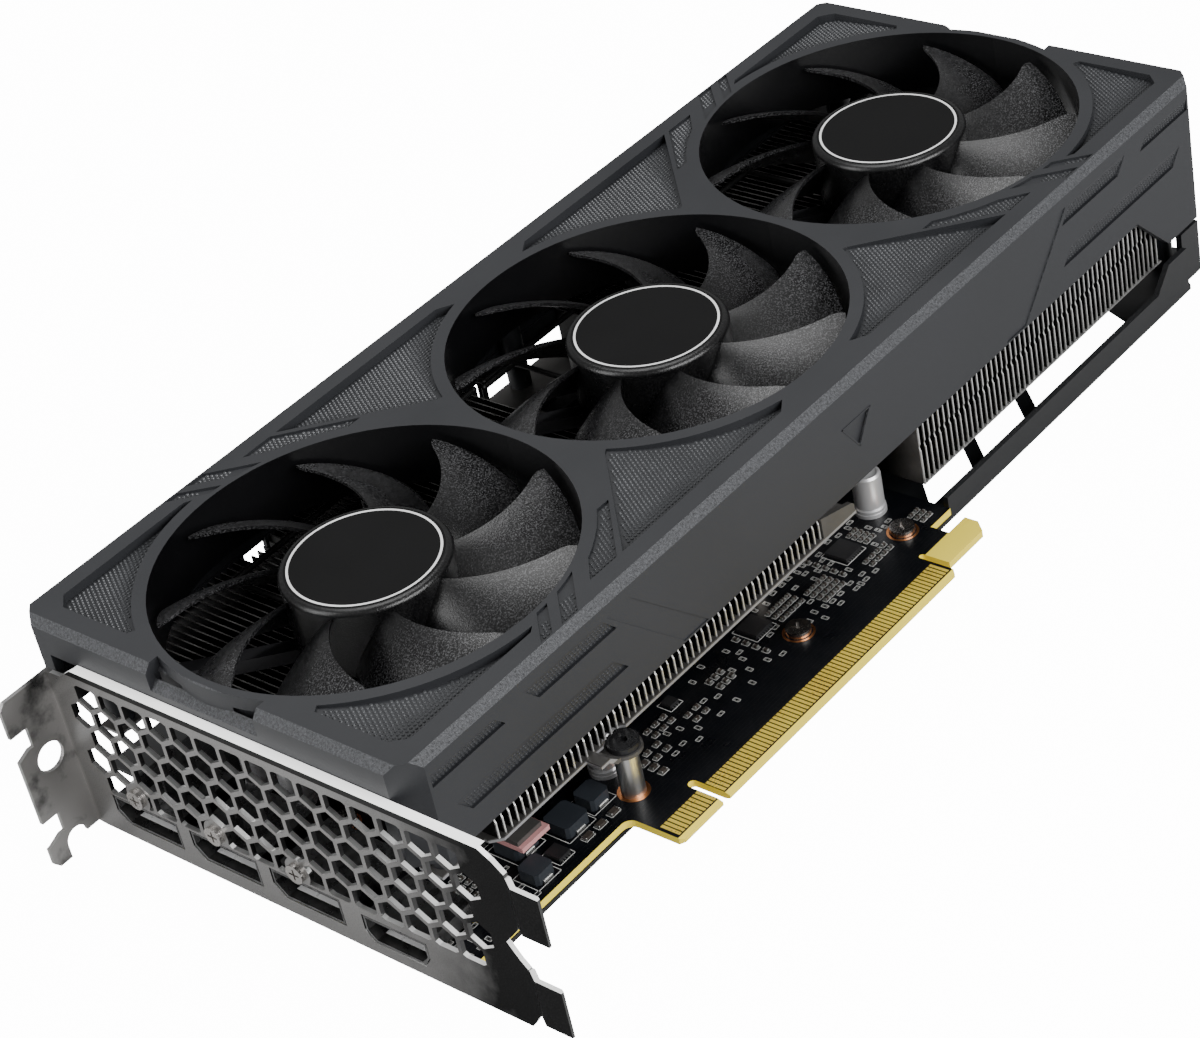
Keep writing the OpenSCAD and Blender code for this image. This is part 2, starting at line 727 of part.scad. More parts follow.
// Upright fins. Those with holes ride on the pipes and are folded over at both ends of their lower
// edge, each fold reaching almost to the next fin.
module fins(x_range, low, holes) {
    count = floor((x_range[1] - x_range[0]) / fin_pitch);
    fold = 8;
    for (i = [0:count]) translate([x_range[0] + i * fin_pitch, 0, 0]) difference() {
        union() {
            along_x(0, fin_t) translate([fin_y0, low]) square([fin_y1 - fin_y0, fin_top - low]);
            if (holes) for (y = [fin_y0, fin_y1 - fold])
                block([0, y, low], [fin_pitch - 0.1, y + fold, low + fin_t]);
        }
        if (holes) for (y = pipe_y)
            along_x(-1, fin_pitch + 2) translate([y, pipe_z]) circle(r = pipe_r);
        // Pressed notch that keeps the fins aligned.
        along_x(-1, fin_pitch + 2) translate([fin_y0 - 1, low + (fin_top - low) * 0.5]) circle(r = 1.25);
    }
}

// The fins beside fan 1 leave a small corner free near the far wall.
module main_fins() {
    color(metal) difference() {
        fins(main_fin_x, frame_z + frame_t, false);
        block([fin_break[0], fin_y1 - 1.6, 18.4], [fin_break[1], fin_y1 + 1, fin_top + 1]);
    }
}

module tail_fins() {
    color(metal) fins(tail_fin_x, tail_fin_low, true);
}

module cooler_screws() {
    color(steel) for (p = cooler_holes())
        screw_up(p, -board_t - 1.8, 2.8, 1.8, 1.2, 4.8);
}

// Each pillar with the height its top stands at.
pillars = [[pillar, pillar_top], [far_pillar, frame_z]];

module support_pillars() {
    color("#d6d6d8") for (p = pillars) translate([p[0].x, p[0].y, 0]) union() {
        tube(2.3, 1.1, 0, p[1]);
        translate([0, 0, -board_t]) cylinder(r = 1.25, h = board_t + 1);
    }
}

module pillar_caps() {
    for (p = pillars) translate([p[0].x, p[0].y, p[1] + frame_t]) {
        color(dark) difference() {
            union() {
                cylinder(r = 3.1, h = 1.2);
                translate([0, 0, -3.6]) cylinder(r = 1.05, h = 3.7);
            }
            translate([0, 0, 0.6]) cylinder(r = 1, h = 2, $fn = 6);
        }
    }
}

// ---------------------------------------------------------------- shroud

// Plan of the shroud, a rectangle with cut corners, drawn in by an inset.
module shroud_plan(inset) {
    cut = corner_cut - inset * 0.6;
    x0 = shroud_x0 + inset;
    x1 = shroud_x1 - inset;
    y0 = shroud_y0 + inset;
    y1 = shroud_y1 - inset;
    polygon([[x0 + cut, y0], [x1 - cut, y0], [x1, y0 + cut], [x1, y1 - cut],
             [x1 - cut, y1], [x0 + cut, y1], [x0, y1 - cut], [x0, y0 + cut]]);
}

// Side view: the long walls end high along the board and reach down at the tail.
module shroud_side_view() {
    polygon([
        [shroud_x0, side_wall_low], [223.6, side_wall_low],
        [223.6 + side_wall_low - tail_wall_low, tail_wall_low], [shroud_x1, tail_wall_low],
        [shroud_x1, shroud_top - top_bevel], [shroud_x1 - top_bevel, shroud_top],
        [shroud_x0 + top_bevel, shroud_top], [shroud_x0, shroud_top - top_bevel]
    ]);
}

module shroud_end_view() {
    polygon([
        [shroud_y0, 0], [shroud_y1, 0], [shroud_y1, shroud_top - top_bevel],
        [shroud_y1 - top_bevel, shroud_top], [shroud_y0 + top_bevel, shroud_top],
        [shroud_y0, shroud_top - top_bevel]
    ]);
}

module shroud_body() {
    intersection() {
        linear_extrude(shroud_top) shroud_plan(0);
        along_y(shroud_y0 - 1, shroud_w + 2) shroud_side_view();
        along_x(shroud_x0 - 1, shroud_l + 2) shroud_end_view();
    }
}

// Sunk panels of the front plate beside fan 1: corner panel and the one towards fan 2. Their
// floors fall away from the fans towards the long edges.
panel_y = shroud_y0 + 5.5;
panel_d = [0.5, 1.9];
strip_d = 0.5;

module corner_panel() {
    difference() {
        polygon([[7.6, panel_y + 2.8], [10.2, panel_y], [41, panel_y], [43, mid_y - lip_r + 0.4],
                 [mid_x - fan_pitch, mid_y], [7.6, 40.5]]);
        translate([fan_x[0], mid_y]) circle(r = lip_r);
    }
}

module middle_panel() {
    difference() {
        polygon([[66, panel_y], [112.5, panel_y], [fan_x[1] - 9, mid_y - 40],
                 [fan_x[1], mid_y], [88.2, 43]]);
        translate([fan_x[1], mid_y]) circle(r = lip_r);
    }
}

// Slanted strip beside the middle panel, and the two short slashes below each outer fan.
module slanted_strip() {
    difference() {
        polygon([[57, panel_y], [64.4, panel_y], [77, 33], [70.4, 33]]);
        translate([fan_x[0], mid_y]) circle(r = lip_r);
    }
}

module slashes() {
    difference() {
        union() {
            polygon([[39.6, 17.2], [42.6, 17.2], [49.2, 24.2], [46.4, 24.2]]);
            polygon([[45.2, 17.2], [49.4, 17.2], [57.6, 25.4], [53.2, 25.4]]);
        }
        translate([fan_x[0], mid_y]) circle(r = opening_r + 1);
    }
}

module sunk_panels() {
    both_sides() intersection() {
        linear_extrude(shroud_top + 1) both_ends_2d() {
            corner_panel();
            middle_panel();
        }
        along_x(0, shroud_x1) polygon([
            [mid_y, shroud_top - panel_d[0] + 0.7], [mid_y - 21, shroud_top - panel_d[0]],
            [panel_y - 1, shroud_top - panel_d[1]], [panel_y - 1, shroud_top + 1],
            [mid_y, shroud_top + 1]
        ]);
    }
    both_sides() translate([0, 0, shroud_top - strip_d]) linear_extrude(2) both_ends_2d() {
        slanted_strip();
        slashes();
    }
}

// A sunk slot of the long side wall, drawn in X and Z: its floor is deepest along its lower edge.
module side_slot(low, high) {
    slot_d = 0.6;
    intersection() {
        along_y(shroud_y0 - 1, 1 + slot_d) children();
        along_x(0, shroud_x1) polygon([
            [shroud_y0 - 1, low], [shroud_y0 + slot_d, low], [shroud_y0, high], [shroud_y0 - 1, high]
        ]);
    }
}

module side_slots() {
    side_slot(35.4, 37.9) polygon([[7.6, 35.4], [26, 35.4], [23.6, 37.9], [7.6, 37.9]]);
    side_slot(34.5, 38) polygon([[34.6, 34.5], [55.5, 34.5], [52.4, 38], [31.4, 38]]);
    side_slot(25.4, 29) polygon([[14.6, 25.4], [56.3, 25.4], [52.7, 29], [11.4, 29]]);
    // Shallow band that runs on down to the wall's lower edge.
    along_y(shroud_y0 - 1, 1.25) polygon([[57, 34.5], [71, 20.4], [78, 20.4], [60, 38], [53.6, 38]]);
}

// A triangle pressed into the long wall.
module arrow_mark() {
    half_w = 4.4;
    depth = 0.5;
    along_y(shroud_y0 - 1, 1 + depth) polygon([[mid_x - half_w, 33.3], [mid_x + half_w, 33.3], [mid_x, 27.2]]);
}

// Round bosses under the front plate that take the screws.
module boss(at, low) {
    translate([at.x, at.y, low]) cylinder(r = 2.4, h = shroud_top - plate_t - low + eps);
}

module boss_hole(at, low) {
    translate([at.x, at.y, low - 1]) cylinder(r = 0.95, h = 10);
}

// Rib inside the far wall that closes the gap beside the fins, with one short break.
module far_rib() {
    rib = [shroud_y1 - shroud_wall - 0.6, shroud_y1 - shroud_wall + 0.4];
    for (x = [[8, fin_break[0]], [fin_break[1], shroud_x1 - 5]])
        block([x[0], rib[0], 17.8], [x[1], rib[1], fin_top]);
}

function fan_ears() = [for (x = fan_x, sx = [-1, 1], sy = [-1, 1])
    [x + sx * ear_r * cos(45), mid_y + sy * ear_r * sin(45)]];

module shroud() {
    color(plastic) difference() {
        union() {
            difference() {
                shroud_body();
                linear_extrude(shroud_top - plate_t) shroud_plan(shroud_wall);
                // Front wall opening above the bracket's lip, and tail wall opening.
                block([shroud_x0 - 1, 23, 0], [shroud_x0 + 4, 105, 34.8]);
                block([shroud_x1 - 4, 23, 0], [shroud_x1 + 1, 105, tail_vent_top]);
            }
            far_rib();
            // Ducts around the impellers.
            for (x = fan_x) translate([x, mid_y, 0])
                tube(opening_r + duct_t, opening_r, duct_low, shroud_top - plate_t + eps);
            for (p = frame_boss_at) boss(p, frame_z + frame_t);
            for (p = tail_boss_at) boss(p, back_z + back_t);
            for (p = fan_ears()) boss(p, ear_top);
        }
        for (x = fan_x) translate([x, mid_y, duct_low - 1]) cylinder(r = opening_r, h = shroud_top);
        sunk_panels();
        // Notches in both ends, where the outer fans' rims come through above a sloping floor.
        both_ends() difference() {
            along_y(mid_y - 13.4, 26.8) polygon([
                [shroud_x0 - 1, shroud_top - 6.2], [shroud_x0 + 4.6, shroud_top - 1.2],
                [shroud_x0 + 4.6, shroud_top + 1], [shroud_x0 - 1, shroud_top + 1]
            ]);
            translate([fan_x[0], mid_y, 0]) cylinder(r = opening_r + 1.7, h = 60);
        }
        both_sides() {
            both_ends() side_slots();
            arrow_mark();
        }
        for (p = frame_boss_at) boss_hole(p, frame_z + frame_t);
        for (p = tail_boss_at) boss_hole(p, back_z + back_t);
        for (p = fan_ears()) boss_hole(p, ear_top);
    }
}

module both_ends_2d() {
    children();
    translate([2 * mid_x, 0]) mirror([1, 0]) children();
}

module shroud_screws() {
    color(steel) for (p = frame_boss_at) screw_up(p, frame_z - 1.1, 2, 1.1, 0.95, 19);
}

module fan_screws() {
    color(steel) for (p = fan_ears()) screw_up(p, frame_low - 1, 1.9, 1, 0.95, 30);
}

// ---------------------------------------------------------------- fans

// Fan frame: motor seat, bearing tube and four spokes that end in screw ears.
module fan_frame(n) {
    tube_r = 4.2;
    color(dark) translate([fan_x[n - 1], mid_y, 0]) difference() {
        union() {
            translate([0, 0, frame_low]) cylinder(r = 15.4, h = frame_top - frame_low);
            translate([0, 0, frame_low]) cylinder(r = tube_r, h = 12.4);
            for (turn = [45, 135, 225, 315]) rotate([0, 0, turn]) {
                translate([14, -1.7, frame_low]) cube([28, 3.4, ear_top - frame_low]);
                translate([ear_r, 0, frame_low]) cylinder(r = 3.1, h = ear_top - frame_low);
            }
        }
        translate([0, 0, frame_low + 1]) cylinder(r = 3, h = 20);
        for (turn = [45, 135, 225, 315]) rotate([0, 0, turn])
            translate([ear_r, 0, 0]) cylinder(r = 1.1, h = 40);
    }
}

module fan_bearing(n) {
    color("#b08d4c") translate([fan_x[n - 1], mid_y, 0])
        tube(3, shaft_r + shaft_gap, frame_low + 2.4, frame_low + 12.4);
}

// Stator: six wound poles around the bearing tube.
module fan_stator(n) {
    color("#9a5b34") translate([fan_x[n - 1], mid_y, 0]) union() {
        tube(6, 4.2, 27, 33);
        for (i = [0:5]) rotate([0, 0, 60 * i]) {
            translate([5.5, -1.2, 27]) cube([4.6, 2.4, 6]);
            translate([6, -2, 27.6]) cube([3, 4, 4.8]);
            intersection() {
                tube(10.4, 9.2, 27, 33);
                translate([8, -4, 26]) cube([4, 8, 8]);
            }
        }
    }
}

module fan_shaft(n) {
    color(metal) translate([fan_x[n - 1], mid_y, frame_low + 2.6])
        cylinder(r = shaft_r, h = hub_top - 1.6 - frame_low - 2.6);
}

// Magnet: a magnet ring inside its steel cup.
module fan_magnet(n) {
    color("#3c3c3e") translate([fan_x[n - 1], mid_y, 0]) {
        tube(12.8, 11.3, hub_low + 0.6, 34.6);
        tube(13.9, 12.8, hub_low + 0.2, 36);
    }
}

// One point on a blade's middle surface. u runs from hub to tip, v from the leading edge back.
function blade_point(u, v) =
    let (
        r = hub_r - 1 + (tip_r - hub_r + 1) * u,
        lead = 26 * pow(u, 1.2),
        chord = 33 - 3 * u,
        angle = lead - chord * v,
        rise = 11 - 1.6 * u,
        z = hub_top - 2 + 0.6 * u - rise * (0.55 * v + 0.45 * v * v)
    )
    [r * cos(angle), r * sin(angle), z];

// A thin closed blade between two copies of that surface.
module blade() {
    nu = 5;
    nv = 3;
    row = nv + 1;
    side = (nu + 1) * row;
    top = [for (i = [0:nu], j = [0:nv]) blade_point(i / nu, j / nv) + [0, 0, blade_t / 2]];
    low = [for (i = [0:nu], j = [0:nv]) blade_point(i / nu, j / nv) - [0, 0, blade_t / 2]];
    function at(s, i, j) = s * side + i * row + j;
    faces = concat(
        [for (i = [0:nu - 1], j = [0:nv - 1]) [at(0, i, j), at(0, i + 1, j), at(0, i, j + 1)]],
        [for (i = [0:nu - 1], j = [0:nv - 1]) [at(0, i + 1, j), at(0, i + 1, j + 1), at(0, i, j + 1)]],
        [for (i = [0:nu - 1], j = [0:nv - 1]) [at(1, i, j), at(1, i, j + 1), at(1, i + 1, j)]],
        [for (i = [0:nu - 1], j = [0:nv - 1]) [at(1, i + 1, j), at(1, i, j + 1), at(1, i + 1, j + 1)]],
        [for (i = [0:nu - 1]) [at(0, i, 0), at(1, i, 0), at(0, i + 1, 0)]],
        [for (i = [0:nu - 1]) [at(1, i, 0), at(1, i + 1, 0), at(0, i + 1, 0)]],
        [for (i = [0:nu - 1]) [at(0, i + 1, nv), at(1, i, nv), at(0, i, nv)]],
        [for (i = [0:nu - 1]) [at(0, i + 1, nv), at(1, i + 1, nv), at(1, i, nv)]],
        [for (j = [0:nv - 1]) [at(0, 0, j + 1), at(1, 0, j), at(0, 0, j)]],
        [for (j = [0:nv - 1]) [at(0, 0, j + 1), at(1, 0, j + 1), at(1, 0, j)]],
        [for (j = [0:nv - 1]) [at(0, nu, j), at(1, nu, j), at(0, nu, j + 1)]],
        [for (j = [0:nv - 1]) [at(1, nu, j), at(1, nu, j + 1), at(0, nu, j + 1)]]
    );
    polyhedron(concat(top, low), faces);
}

// Impeller: cup-shaped hub with a rounded rim, a boss for the shaft, and swept blades.
module fan_impeller(n) {
    inner_r = 13.9;
    color(dark) translate([fan_x[n - 1], mid_y, 0]) union() {
        rotate_extrude() polygon([
            [shaft_r, hub_top - 4.6], [3.4, hub_top - 4.6], [3.4, hub_top - 2.2],
            [inner_r, hub_top - 2.2], [inner_r, hub_low], [hub_r, hub_low],
            [hub_r, hub_top - 1.4], [hub_r - 0.4, hub_top - 0.4], [hub_r - 0.9, hub_top],
            [15, hub_top], [15, hub_top - cap_t], [shaft_r, hub_top - cap_t]
        ]);
        for (i = [0:blade_count - 1]) rotate([0, 0, 360 / blade_count * i]) blade();
    }
}

module fan_hub_cap(n) {
    color("#2b2b2c") translate([fan_x[n - 1], mid_y, hub_top - cap_t]) cylinder(r = 14.9, h = cap_t);
}

module fan_motor_boards() {
    color("#1f4a33") for (x = fan_x) translate([x, mid_y, 0]) tube(12.4, 4.2, frame_top, frame_top + 1);
}

// A cable through a list of points, each straight up, down or along from the last.
module cable(points) {
    wire_r = 0.6;
    for (i = [0:len(points) - 2]) {
        a = points[i];
        d = points[i + 1] - a;
        turn = d.x != 0 ? [0, 90, 0] : d.y != 0 ? [-90, 0, 0] : [0, 0, 0];
        start = d.x + d.y + d.z > 0 ? a : points[i + 1];
        translate(start) rotate(turn) cylinder(r = wire_r, h = norm(d));
        if (i > 0) translate(a) sphere(r = wire_r * 1.15);
    }
}

// Cables: each leaves its motor between fins and spokes, drops past the far edge of the fins and
// ends in a socket on the board. The middle one crosses above the outer socket.
module fan_cables() {
    run_z = 21.7;
    low_z = 2;
    over_z = 5.2;
    lane = [104.9, 103.4, 106.4];
    drop_x = [115.2, 116.8, 118.4];
    plug_y = 101.5;
    color(dark) {
        cable([[fan_x[0], mid_y + 20, run_z], [fan_x[0], lane[0], run_z], [drop_x[0], lane[0], run_z],
               [drop_x[0], lane[0], low_z], [fan_socket_x[2], lane[0], low_z],
               [fan_socket_x[2], plug_y, low_z]]);
        cable([[fan_x[1], mid_y + 20, run_z], [fan_x[1], lane[1], run_z], [drop_x[1], lane[1], run_z],
               [drop_x[1], lane[1], over_z], [fan_socket_x[1], lane[1], over_z],
               [fan_socket_x[1], lane[0], over_z], [fan_socket_x[1], lane[0], low_z],
               [fan_socket_x[1], plug_y, low_z]]);
        cable([[fan_x[2], mid_y + 20, run_z], [fan_x[2], lane[0], run_z], [drop_x[2], lane[0], run_z],
               [drop_x[2], lane[2], run_z], [drop_x[2], lane[2], low_z], [fan_socket_x[0], lane[2], low_z],
               [fan_socket_x[0], plug_y, low_z]]);
    }
}

// ---------------------------------------------------------------- parts

pcb();
edge_contacts();
gpu_package();
gpu_die();
thermal_paste();
memory_chips();
inductors();
power_stages();
capacitors();
controller_chips();
small_components();
power_socket();
power_pins();
fan_sockets();
displayport_shells();
displayport_tongues();
hdmi_shell();
hdmi_tongue();
slot_bracket();
bracket_screws();
backplate();
backplate_screws();
board_screws();
thermal_pads();
base_block();
cooler_frame();
heat_pipes();
main_fins();
tail_fins();
cooler_screws();
support_pillars();
pillar_caps();
shroud();
shroud_screws();
fan_screws();
fan_cables();
fan_motor_boards();
fan_frame(1);  // fan_1_frame
fan_bearing(1);  // fan_1_bearing
fan_stator(1);  // fan_1_stator
fan_shaft(1);  // fan_1_shaft
fan_magnet(1);  // fan_1_magnet
fan_impeller(1);  // fan_1_impeller
fan_hub_cap(1);  // fan_1_hub_cap
fan_frame(2);  // fan_2_frame
fan_bearing(2);  // fan_2_bearing
fan_stator(2);  // fan_2_stator
fan_shaft(2);  // fan_2_shaft
fan_magnet(2);  // fan_2_magnet
fan_impeller(2);  // fan_2_impeller
fan_hub_cap(2);  // fan_2_hub_cap
fan_frame(3);  // fan_3_frame
fan_bearing(3);  // fan_3_bearing
fan_stator(3);  // fan_3_stator
fan_shaft(3);  // fan_3_shaft
fan_magnet(3);  // fan_3_magnet
fan_impeller(3);  // fan_3_impeller
fan_hub_cap(3);  // fan_3_hub_cap
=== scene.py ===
import bpy
import bmesh
import json
import math
import random
from mathutils import Matrix, Vector


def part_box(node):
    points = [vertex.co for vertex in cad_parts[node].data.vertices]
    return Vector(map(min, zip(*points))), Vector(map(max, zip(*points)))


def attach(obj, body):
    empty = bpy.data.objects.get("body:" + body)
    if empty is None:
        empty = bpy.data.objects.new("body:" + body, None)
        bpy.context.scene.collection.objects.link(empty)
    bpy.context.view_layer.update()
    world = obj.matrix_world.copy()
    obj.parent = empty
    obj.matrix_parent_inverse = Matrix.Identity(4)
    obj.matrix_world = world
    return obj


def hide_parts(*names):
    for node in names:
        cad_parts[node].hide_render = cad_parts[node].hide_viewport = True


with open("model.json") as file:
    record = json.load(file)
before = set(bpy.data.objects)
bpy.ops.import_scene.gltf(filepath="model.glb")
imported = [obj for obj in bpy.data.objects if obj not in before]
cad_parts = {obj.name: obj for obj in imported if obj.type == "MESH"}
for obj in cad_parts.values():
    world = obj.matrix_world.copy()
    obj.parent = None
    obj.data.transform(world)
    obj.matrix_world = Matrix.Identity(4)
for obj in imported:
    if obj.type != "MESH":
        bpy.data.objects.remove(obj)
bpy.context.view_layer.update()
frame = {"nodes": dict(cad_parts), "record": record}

# Sizes are in millimetres, apart from the stage's; MM turns them into the frame's metres.
MM = 0.001


def corners(node):
    """Lowest and highest corner of a CAD node in millimetres, to the nearest hundredth."""
    return tuple(Vector([round(value / MM, 2) for value in corner]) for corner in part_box(node))


def middle(node, axis):
    """Middle of a CAD node along an axis, in millimetres."""
    low, high = corners(node)
    return round((low[axis] + high[axis]) / 2, 2)


FAN_X = tuple(middle(f"fan_{n}_hub_cap", 0) for n in (1, 2, 3))
MID_X = FAN_X[1]
MID_Y = middle("shroud", 1)
WALL_Y = round(corners("shroud")[0].y, 2)
TOP_Z = round(corners("shroud")[1].z, 2)
HUB_TOP = 41.1
HUB_R = 16.0
TIP_R = 38.6
OPENING_R = 39.7
LIP_R = 42.4
BLADES = 9
TURN = 2 * math.pi
dice = random.Random(7)


# ------------------------------------------------------------------ materials

class Nodes:
    """Short hand for building one node-based material. A mask is an output that is 0 or 1."""

    def __init__(self, name):
        self.mat = bpy.data.materials.new(name)
        self.mat.use_nodes = True
        self.tree = self.mat.node_tree
        self.shader = self.tree.nodes["Principled BSDF"]
        self.place = self.tree.nodes.new("ShaderNodeTexCoord").outputs["Object"]

    def fill(self, socket, value):
        """Feeds a socket from another node, or gives it a fixed number or colour."""
        if isinstance(value, bpy.types.NodeSocket):
            self.tree.links.new(value, socket)
        elif socket.type == "RGBA":
            socket.default_value = (*value, 1.0)
        else:
            socket.default_value = value

    def finish(self, **inputs):
        """Fills inputs of the shader and gives back the material."""
        for key, value in inputs.items():
            self.fill(self.shader.inputs[key.replace("_", " ")], value)
        return self.mat

    def node(self, kind, **inputs):
        made = self.tree.nodes.new(kind)
        for key, value in inputs.items():
            self.fill(made.inputs[key.replace("_", " ")], value)
        return made

    def math(self, operation, a, b=0.0):
        made = self.tree.nodes.new("ShaderNodeMath")
        made.operation = operation
        self.fill(made.inputs[0], a)
        self.fill(made.inputs[1], b)
        return made.outputs[0]

    def add(self, a, b):
        return self.math("ADD", a, b)

    def times(self, a, b):
        return self.math("MULTIPLY", a, b)

    def above(self, value, limit):
        return self.math("GREATER_THAN", value, limit)

    def below(self, value, limit):
        return self.math("LESS_THAN", value, limit)

    def between(self, value, low, high):
        return self.times(self.above(value, low), self.below(value, high))

    def noise(self, size_mm, detail=3.0, roughness=0.55, stretch=(1, 1, 1)):
        """Noise between 0 and 1 whose blotches are about size_mm across."""
        mapping = self.node("ShaderNodeMapping", Vector=self.place)
        mapping.inputs["Scale"].default_value = Vector(stretch) / (size_mm * MM)
        made = self.node("ShaderNodeTexNoise", Vector=mapping.outputs[0], Scale=1.0,
                         Detail=detail, Roughness=roughness)
        return made.outputs[0]

    def spread(self, noise, low, high):
        """Noise, which lies near 0.3 to 0.7, mapped to low..high."""
        made = self.node("ShaderNodeMapRange", Value=noise)
        made.inputs["From Min"].default_value = 0.3
        made.inputs["From Max"].default_value = 0.7
        made.inputs["To Min"].default_value = low
        made.inputs["To Max"].default_value = high
        return made.outputs[0]

    def ramp(self, value, start, end):
        """0 up to start, 1 from end on, straight in between."""
        made = self.node("ShaderNodeMapRange", Value=value)
        made.inputs["From Min"].default_value = start
        made.inputs["From Max"].default_value = end
        return made.outputs[0]

    def mix(self, factor, a, b):
        made = self.tree.nodes.new("ShaderNodeMix")
        made.data_type = "RGBA"
        for index, value in ((0, factor), (6, a), (7, b)):
            self.fill(made.inputs[index], value)
        return made.outputs[2]

    def blotches(self, noise, dark, light):
        """A colour that drifts from dark to light with the noise."""
        return self.mix(self.spread(noise, 0.0, 1.0), dark, light)

    def axis(self, index):
        """Position along x, y or z in millimetres."""
        parts = self.node("ShaderNodeSeparateXYZ", Vector=self.place)
        return self.math("DIVIDE", parts.outputs[index], MM)

    def facing(self, index):
        """The flat face normal along x, y or z."""
        normal = self.tree.nodes.new("ShaderNodeNewGeometry").outputs["True Normal"]
        return self.node("ShaderNodeSeparateXYZ", Vector=normal).outputs[index]

    def across(self, index, limit):
        """A mask of the faces that look mostly away from an axis, on either side."""
        return self.below(self.math("ABSOLUTE", self.facing(index)), limit)

    def fan_reach(self):
        """Distance in millimetres from the nearest fan axis."""
        nearest = None
        for fan in FAN_X:
            x = self.math("SUBTRACT", self.axis(0), fan)
            y = self.math("SUBTRACT", self.axis(1), MID_Y)
            reach = self.math("SQRT", self.add(self.times(x, x), self.times(y, y)))
            nearest = reach if nearest is None else self.math("MINIMUM", nearest, reach)
        return nearest

    def bump(self, height, depth_mm, below=None):
        made = self.node("ShaderNodeBump", Height=height, Strength=1.0, Distance=depth_mm * MM)
        if below is not None:
            self.fill(made.inputs["Normal"], below)
        return made.outputs[0]


def surface(name, color, rough, metal=0.0, vary=0.12, grain_mm=0.3, grain_depth=0.01,
            cloud_mm=14.0, stretch=(1, 1, 1), shine=0.5):
    """A plain material: colour and gloss drift over cloud_mm, with a fine grain as bump."""
    kit = Nodes(name)
    clouds = kit.noise(cloud_mm, 4.0)
    grain = kit.noise(grain_mm, 2.0, 0.6, stretch)
    darker = tuple(c * (1.0 - vary) for c in color)
    lighter = tuple(min(1.0, c * (1.0 + vary)) for c in color)
    gloss = kit.add(kit.spread(clouds, rough - 0.05, rough + 0.05), kit.spread(grain, -0.04, 0.04))
    return kit.finish(Base_Color=kit.blotches(clouds, darker, lighter), Roughness=gloss, Metallic=metal,
                      Specular_IOR_Level=shine, Normal=kit.bump(grain, grain_depth))


def shroud_material():
    """Matt charcoal; the bevelled edges carry a coarse eroded texture that catches the light. The walls of
    the ducts round the fans are smooth and carry painted shade that makes them nearly black."""
    kit = Nodes("charcoal_shroud")
    clouds = kit.noise(30.0, 4.0)
    fine = kit.noise(0.22, 2.0, 0.6)
    coarse = kit.noise(0.45, 3.0, 0.75)
    up = kit.facing(2)
    bevel = kit.between(up, 0.5, 0.9)
    # Painted shade: the duct walls round the fans are coloured nearly black.
    duct_shade = kit.times(kit.below(kit.fan_reach(), OPENING_R + 0.05), kit.below(up, 0.3))
    base = kit.blotches(clouds, (0.0125, 0.0135, 0.016), (0.017, 0.018, 0.021))
    worn = kit.blotches(coarse, (0.008, 0.0085, 0.01), (0.075, 0.078, 0.085))
    color = kit.mix(duct_shade, kit.mix(bevel, base, worn), (0.002, 0.002, 0.0025))
    gloss = kit.math("SUBTRACT", kit.spread(clouds, 0.46, 0.56), kit.times(duct_shade, 0.2))
    return kit.finish(Base_Color=color, Roughness=gloss,
                      Normal=kit.bump(kit.times(coarse, bevel), 0.2, kit.bump(fine, 0.012)))


def fan_material():
    """Glossy black plastic with a fine grain. The grain's flecks are painted lighter towards the blades'
    tips, a painted highlight.
    """
    kit = Nodes("fan_plastic")
    clouds = kit.noise(14.0, 4.0)
    grain = kit.noise(0.3, 2.0, 0.6)
    # Painted highlight: the flecks grow lighter with distance from the hub.
    tip_highlight = kit.ramp(kit.fan_reach(), HUB_R + 2.0, TIP_R - 2.0)
    fleck = kit.mix(tip_highlight, (0.012, 0.012, 0.0125), (0.1, 0.1, 0.104))
    base = kit.blotches(clouds, (0.0018, 0.0018, 0.002), (0.0028, 0.0028, 0.003))
    return kit.finish(Base_Color=kit.mix(kit.ramp(grain, 0.48, 0.66), base, fleck),
                      Roughness=kit.spread(clouds, 0.24, 0.32), Specular_IOR_Level=0.42,
                      Normal=kit.bump(grain, 0.05))


LAMINATE = (0.88, 0.7, 0.07)
HOOK_X = 131.5
HOOK_Y = 8.2


def board_material():
    """Black solder mask with faint buried tracks. The cut edges, the tongue's bevel and the hook
    beside it show pale yellow laminate."""
    kit = Nodes("board_mask")
    tracks = kit.node("ShaderNodeTexBrick", Vector=kit.place, Scale=1.0 / (3.4 * MM))
    tracks.inputs["Mortar Size"].default_value = 0.018
    edge = kit.across(2, 0.9)
    bevel = kit.below(kit.axis(1), 1.0)
    hook = kit.times(kit.above(kit.axis(0), HOOK_X), kit.below(kit.axis(1), HOOK_Y))
    bare = kit.math("MAXIMUM", kit.math("MAXIMUM", edge, bevel), hook)
    clouds = kit.noise(9.0, 4.0)
    mask = kit.blotches(clouds, (0.0016, 0.002, 0.003), (0.0028, 0.0032, 0.0048))
    return kit.finish(Base_Color=kit.mix(bare, mask, LAMINATE), Specular_IOR_Level=0.22,
                      Roughness=kit.add(kit.spread(clouds, 0.26, 0.36), kit.times(bare, 0.3)),
                      Normal=kit.bump(tracks.outputs["Fac"], 0.012))


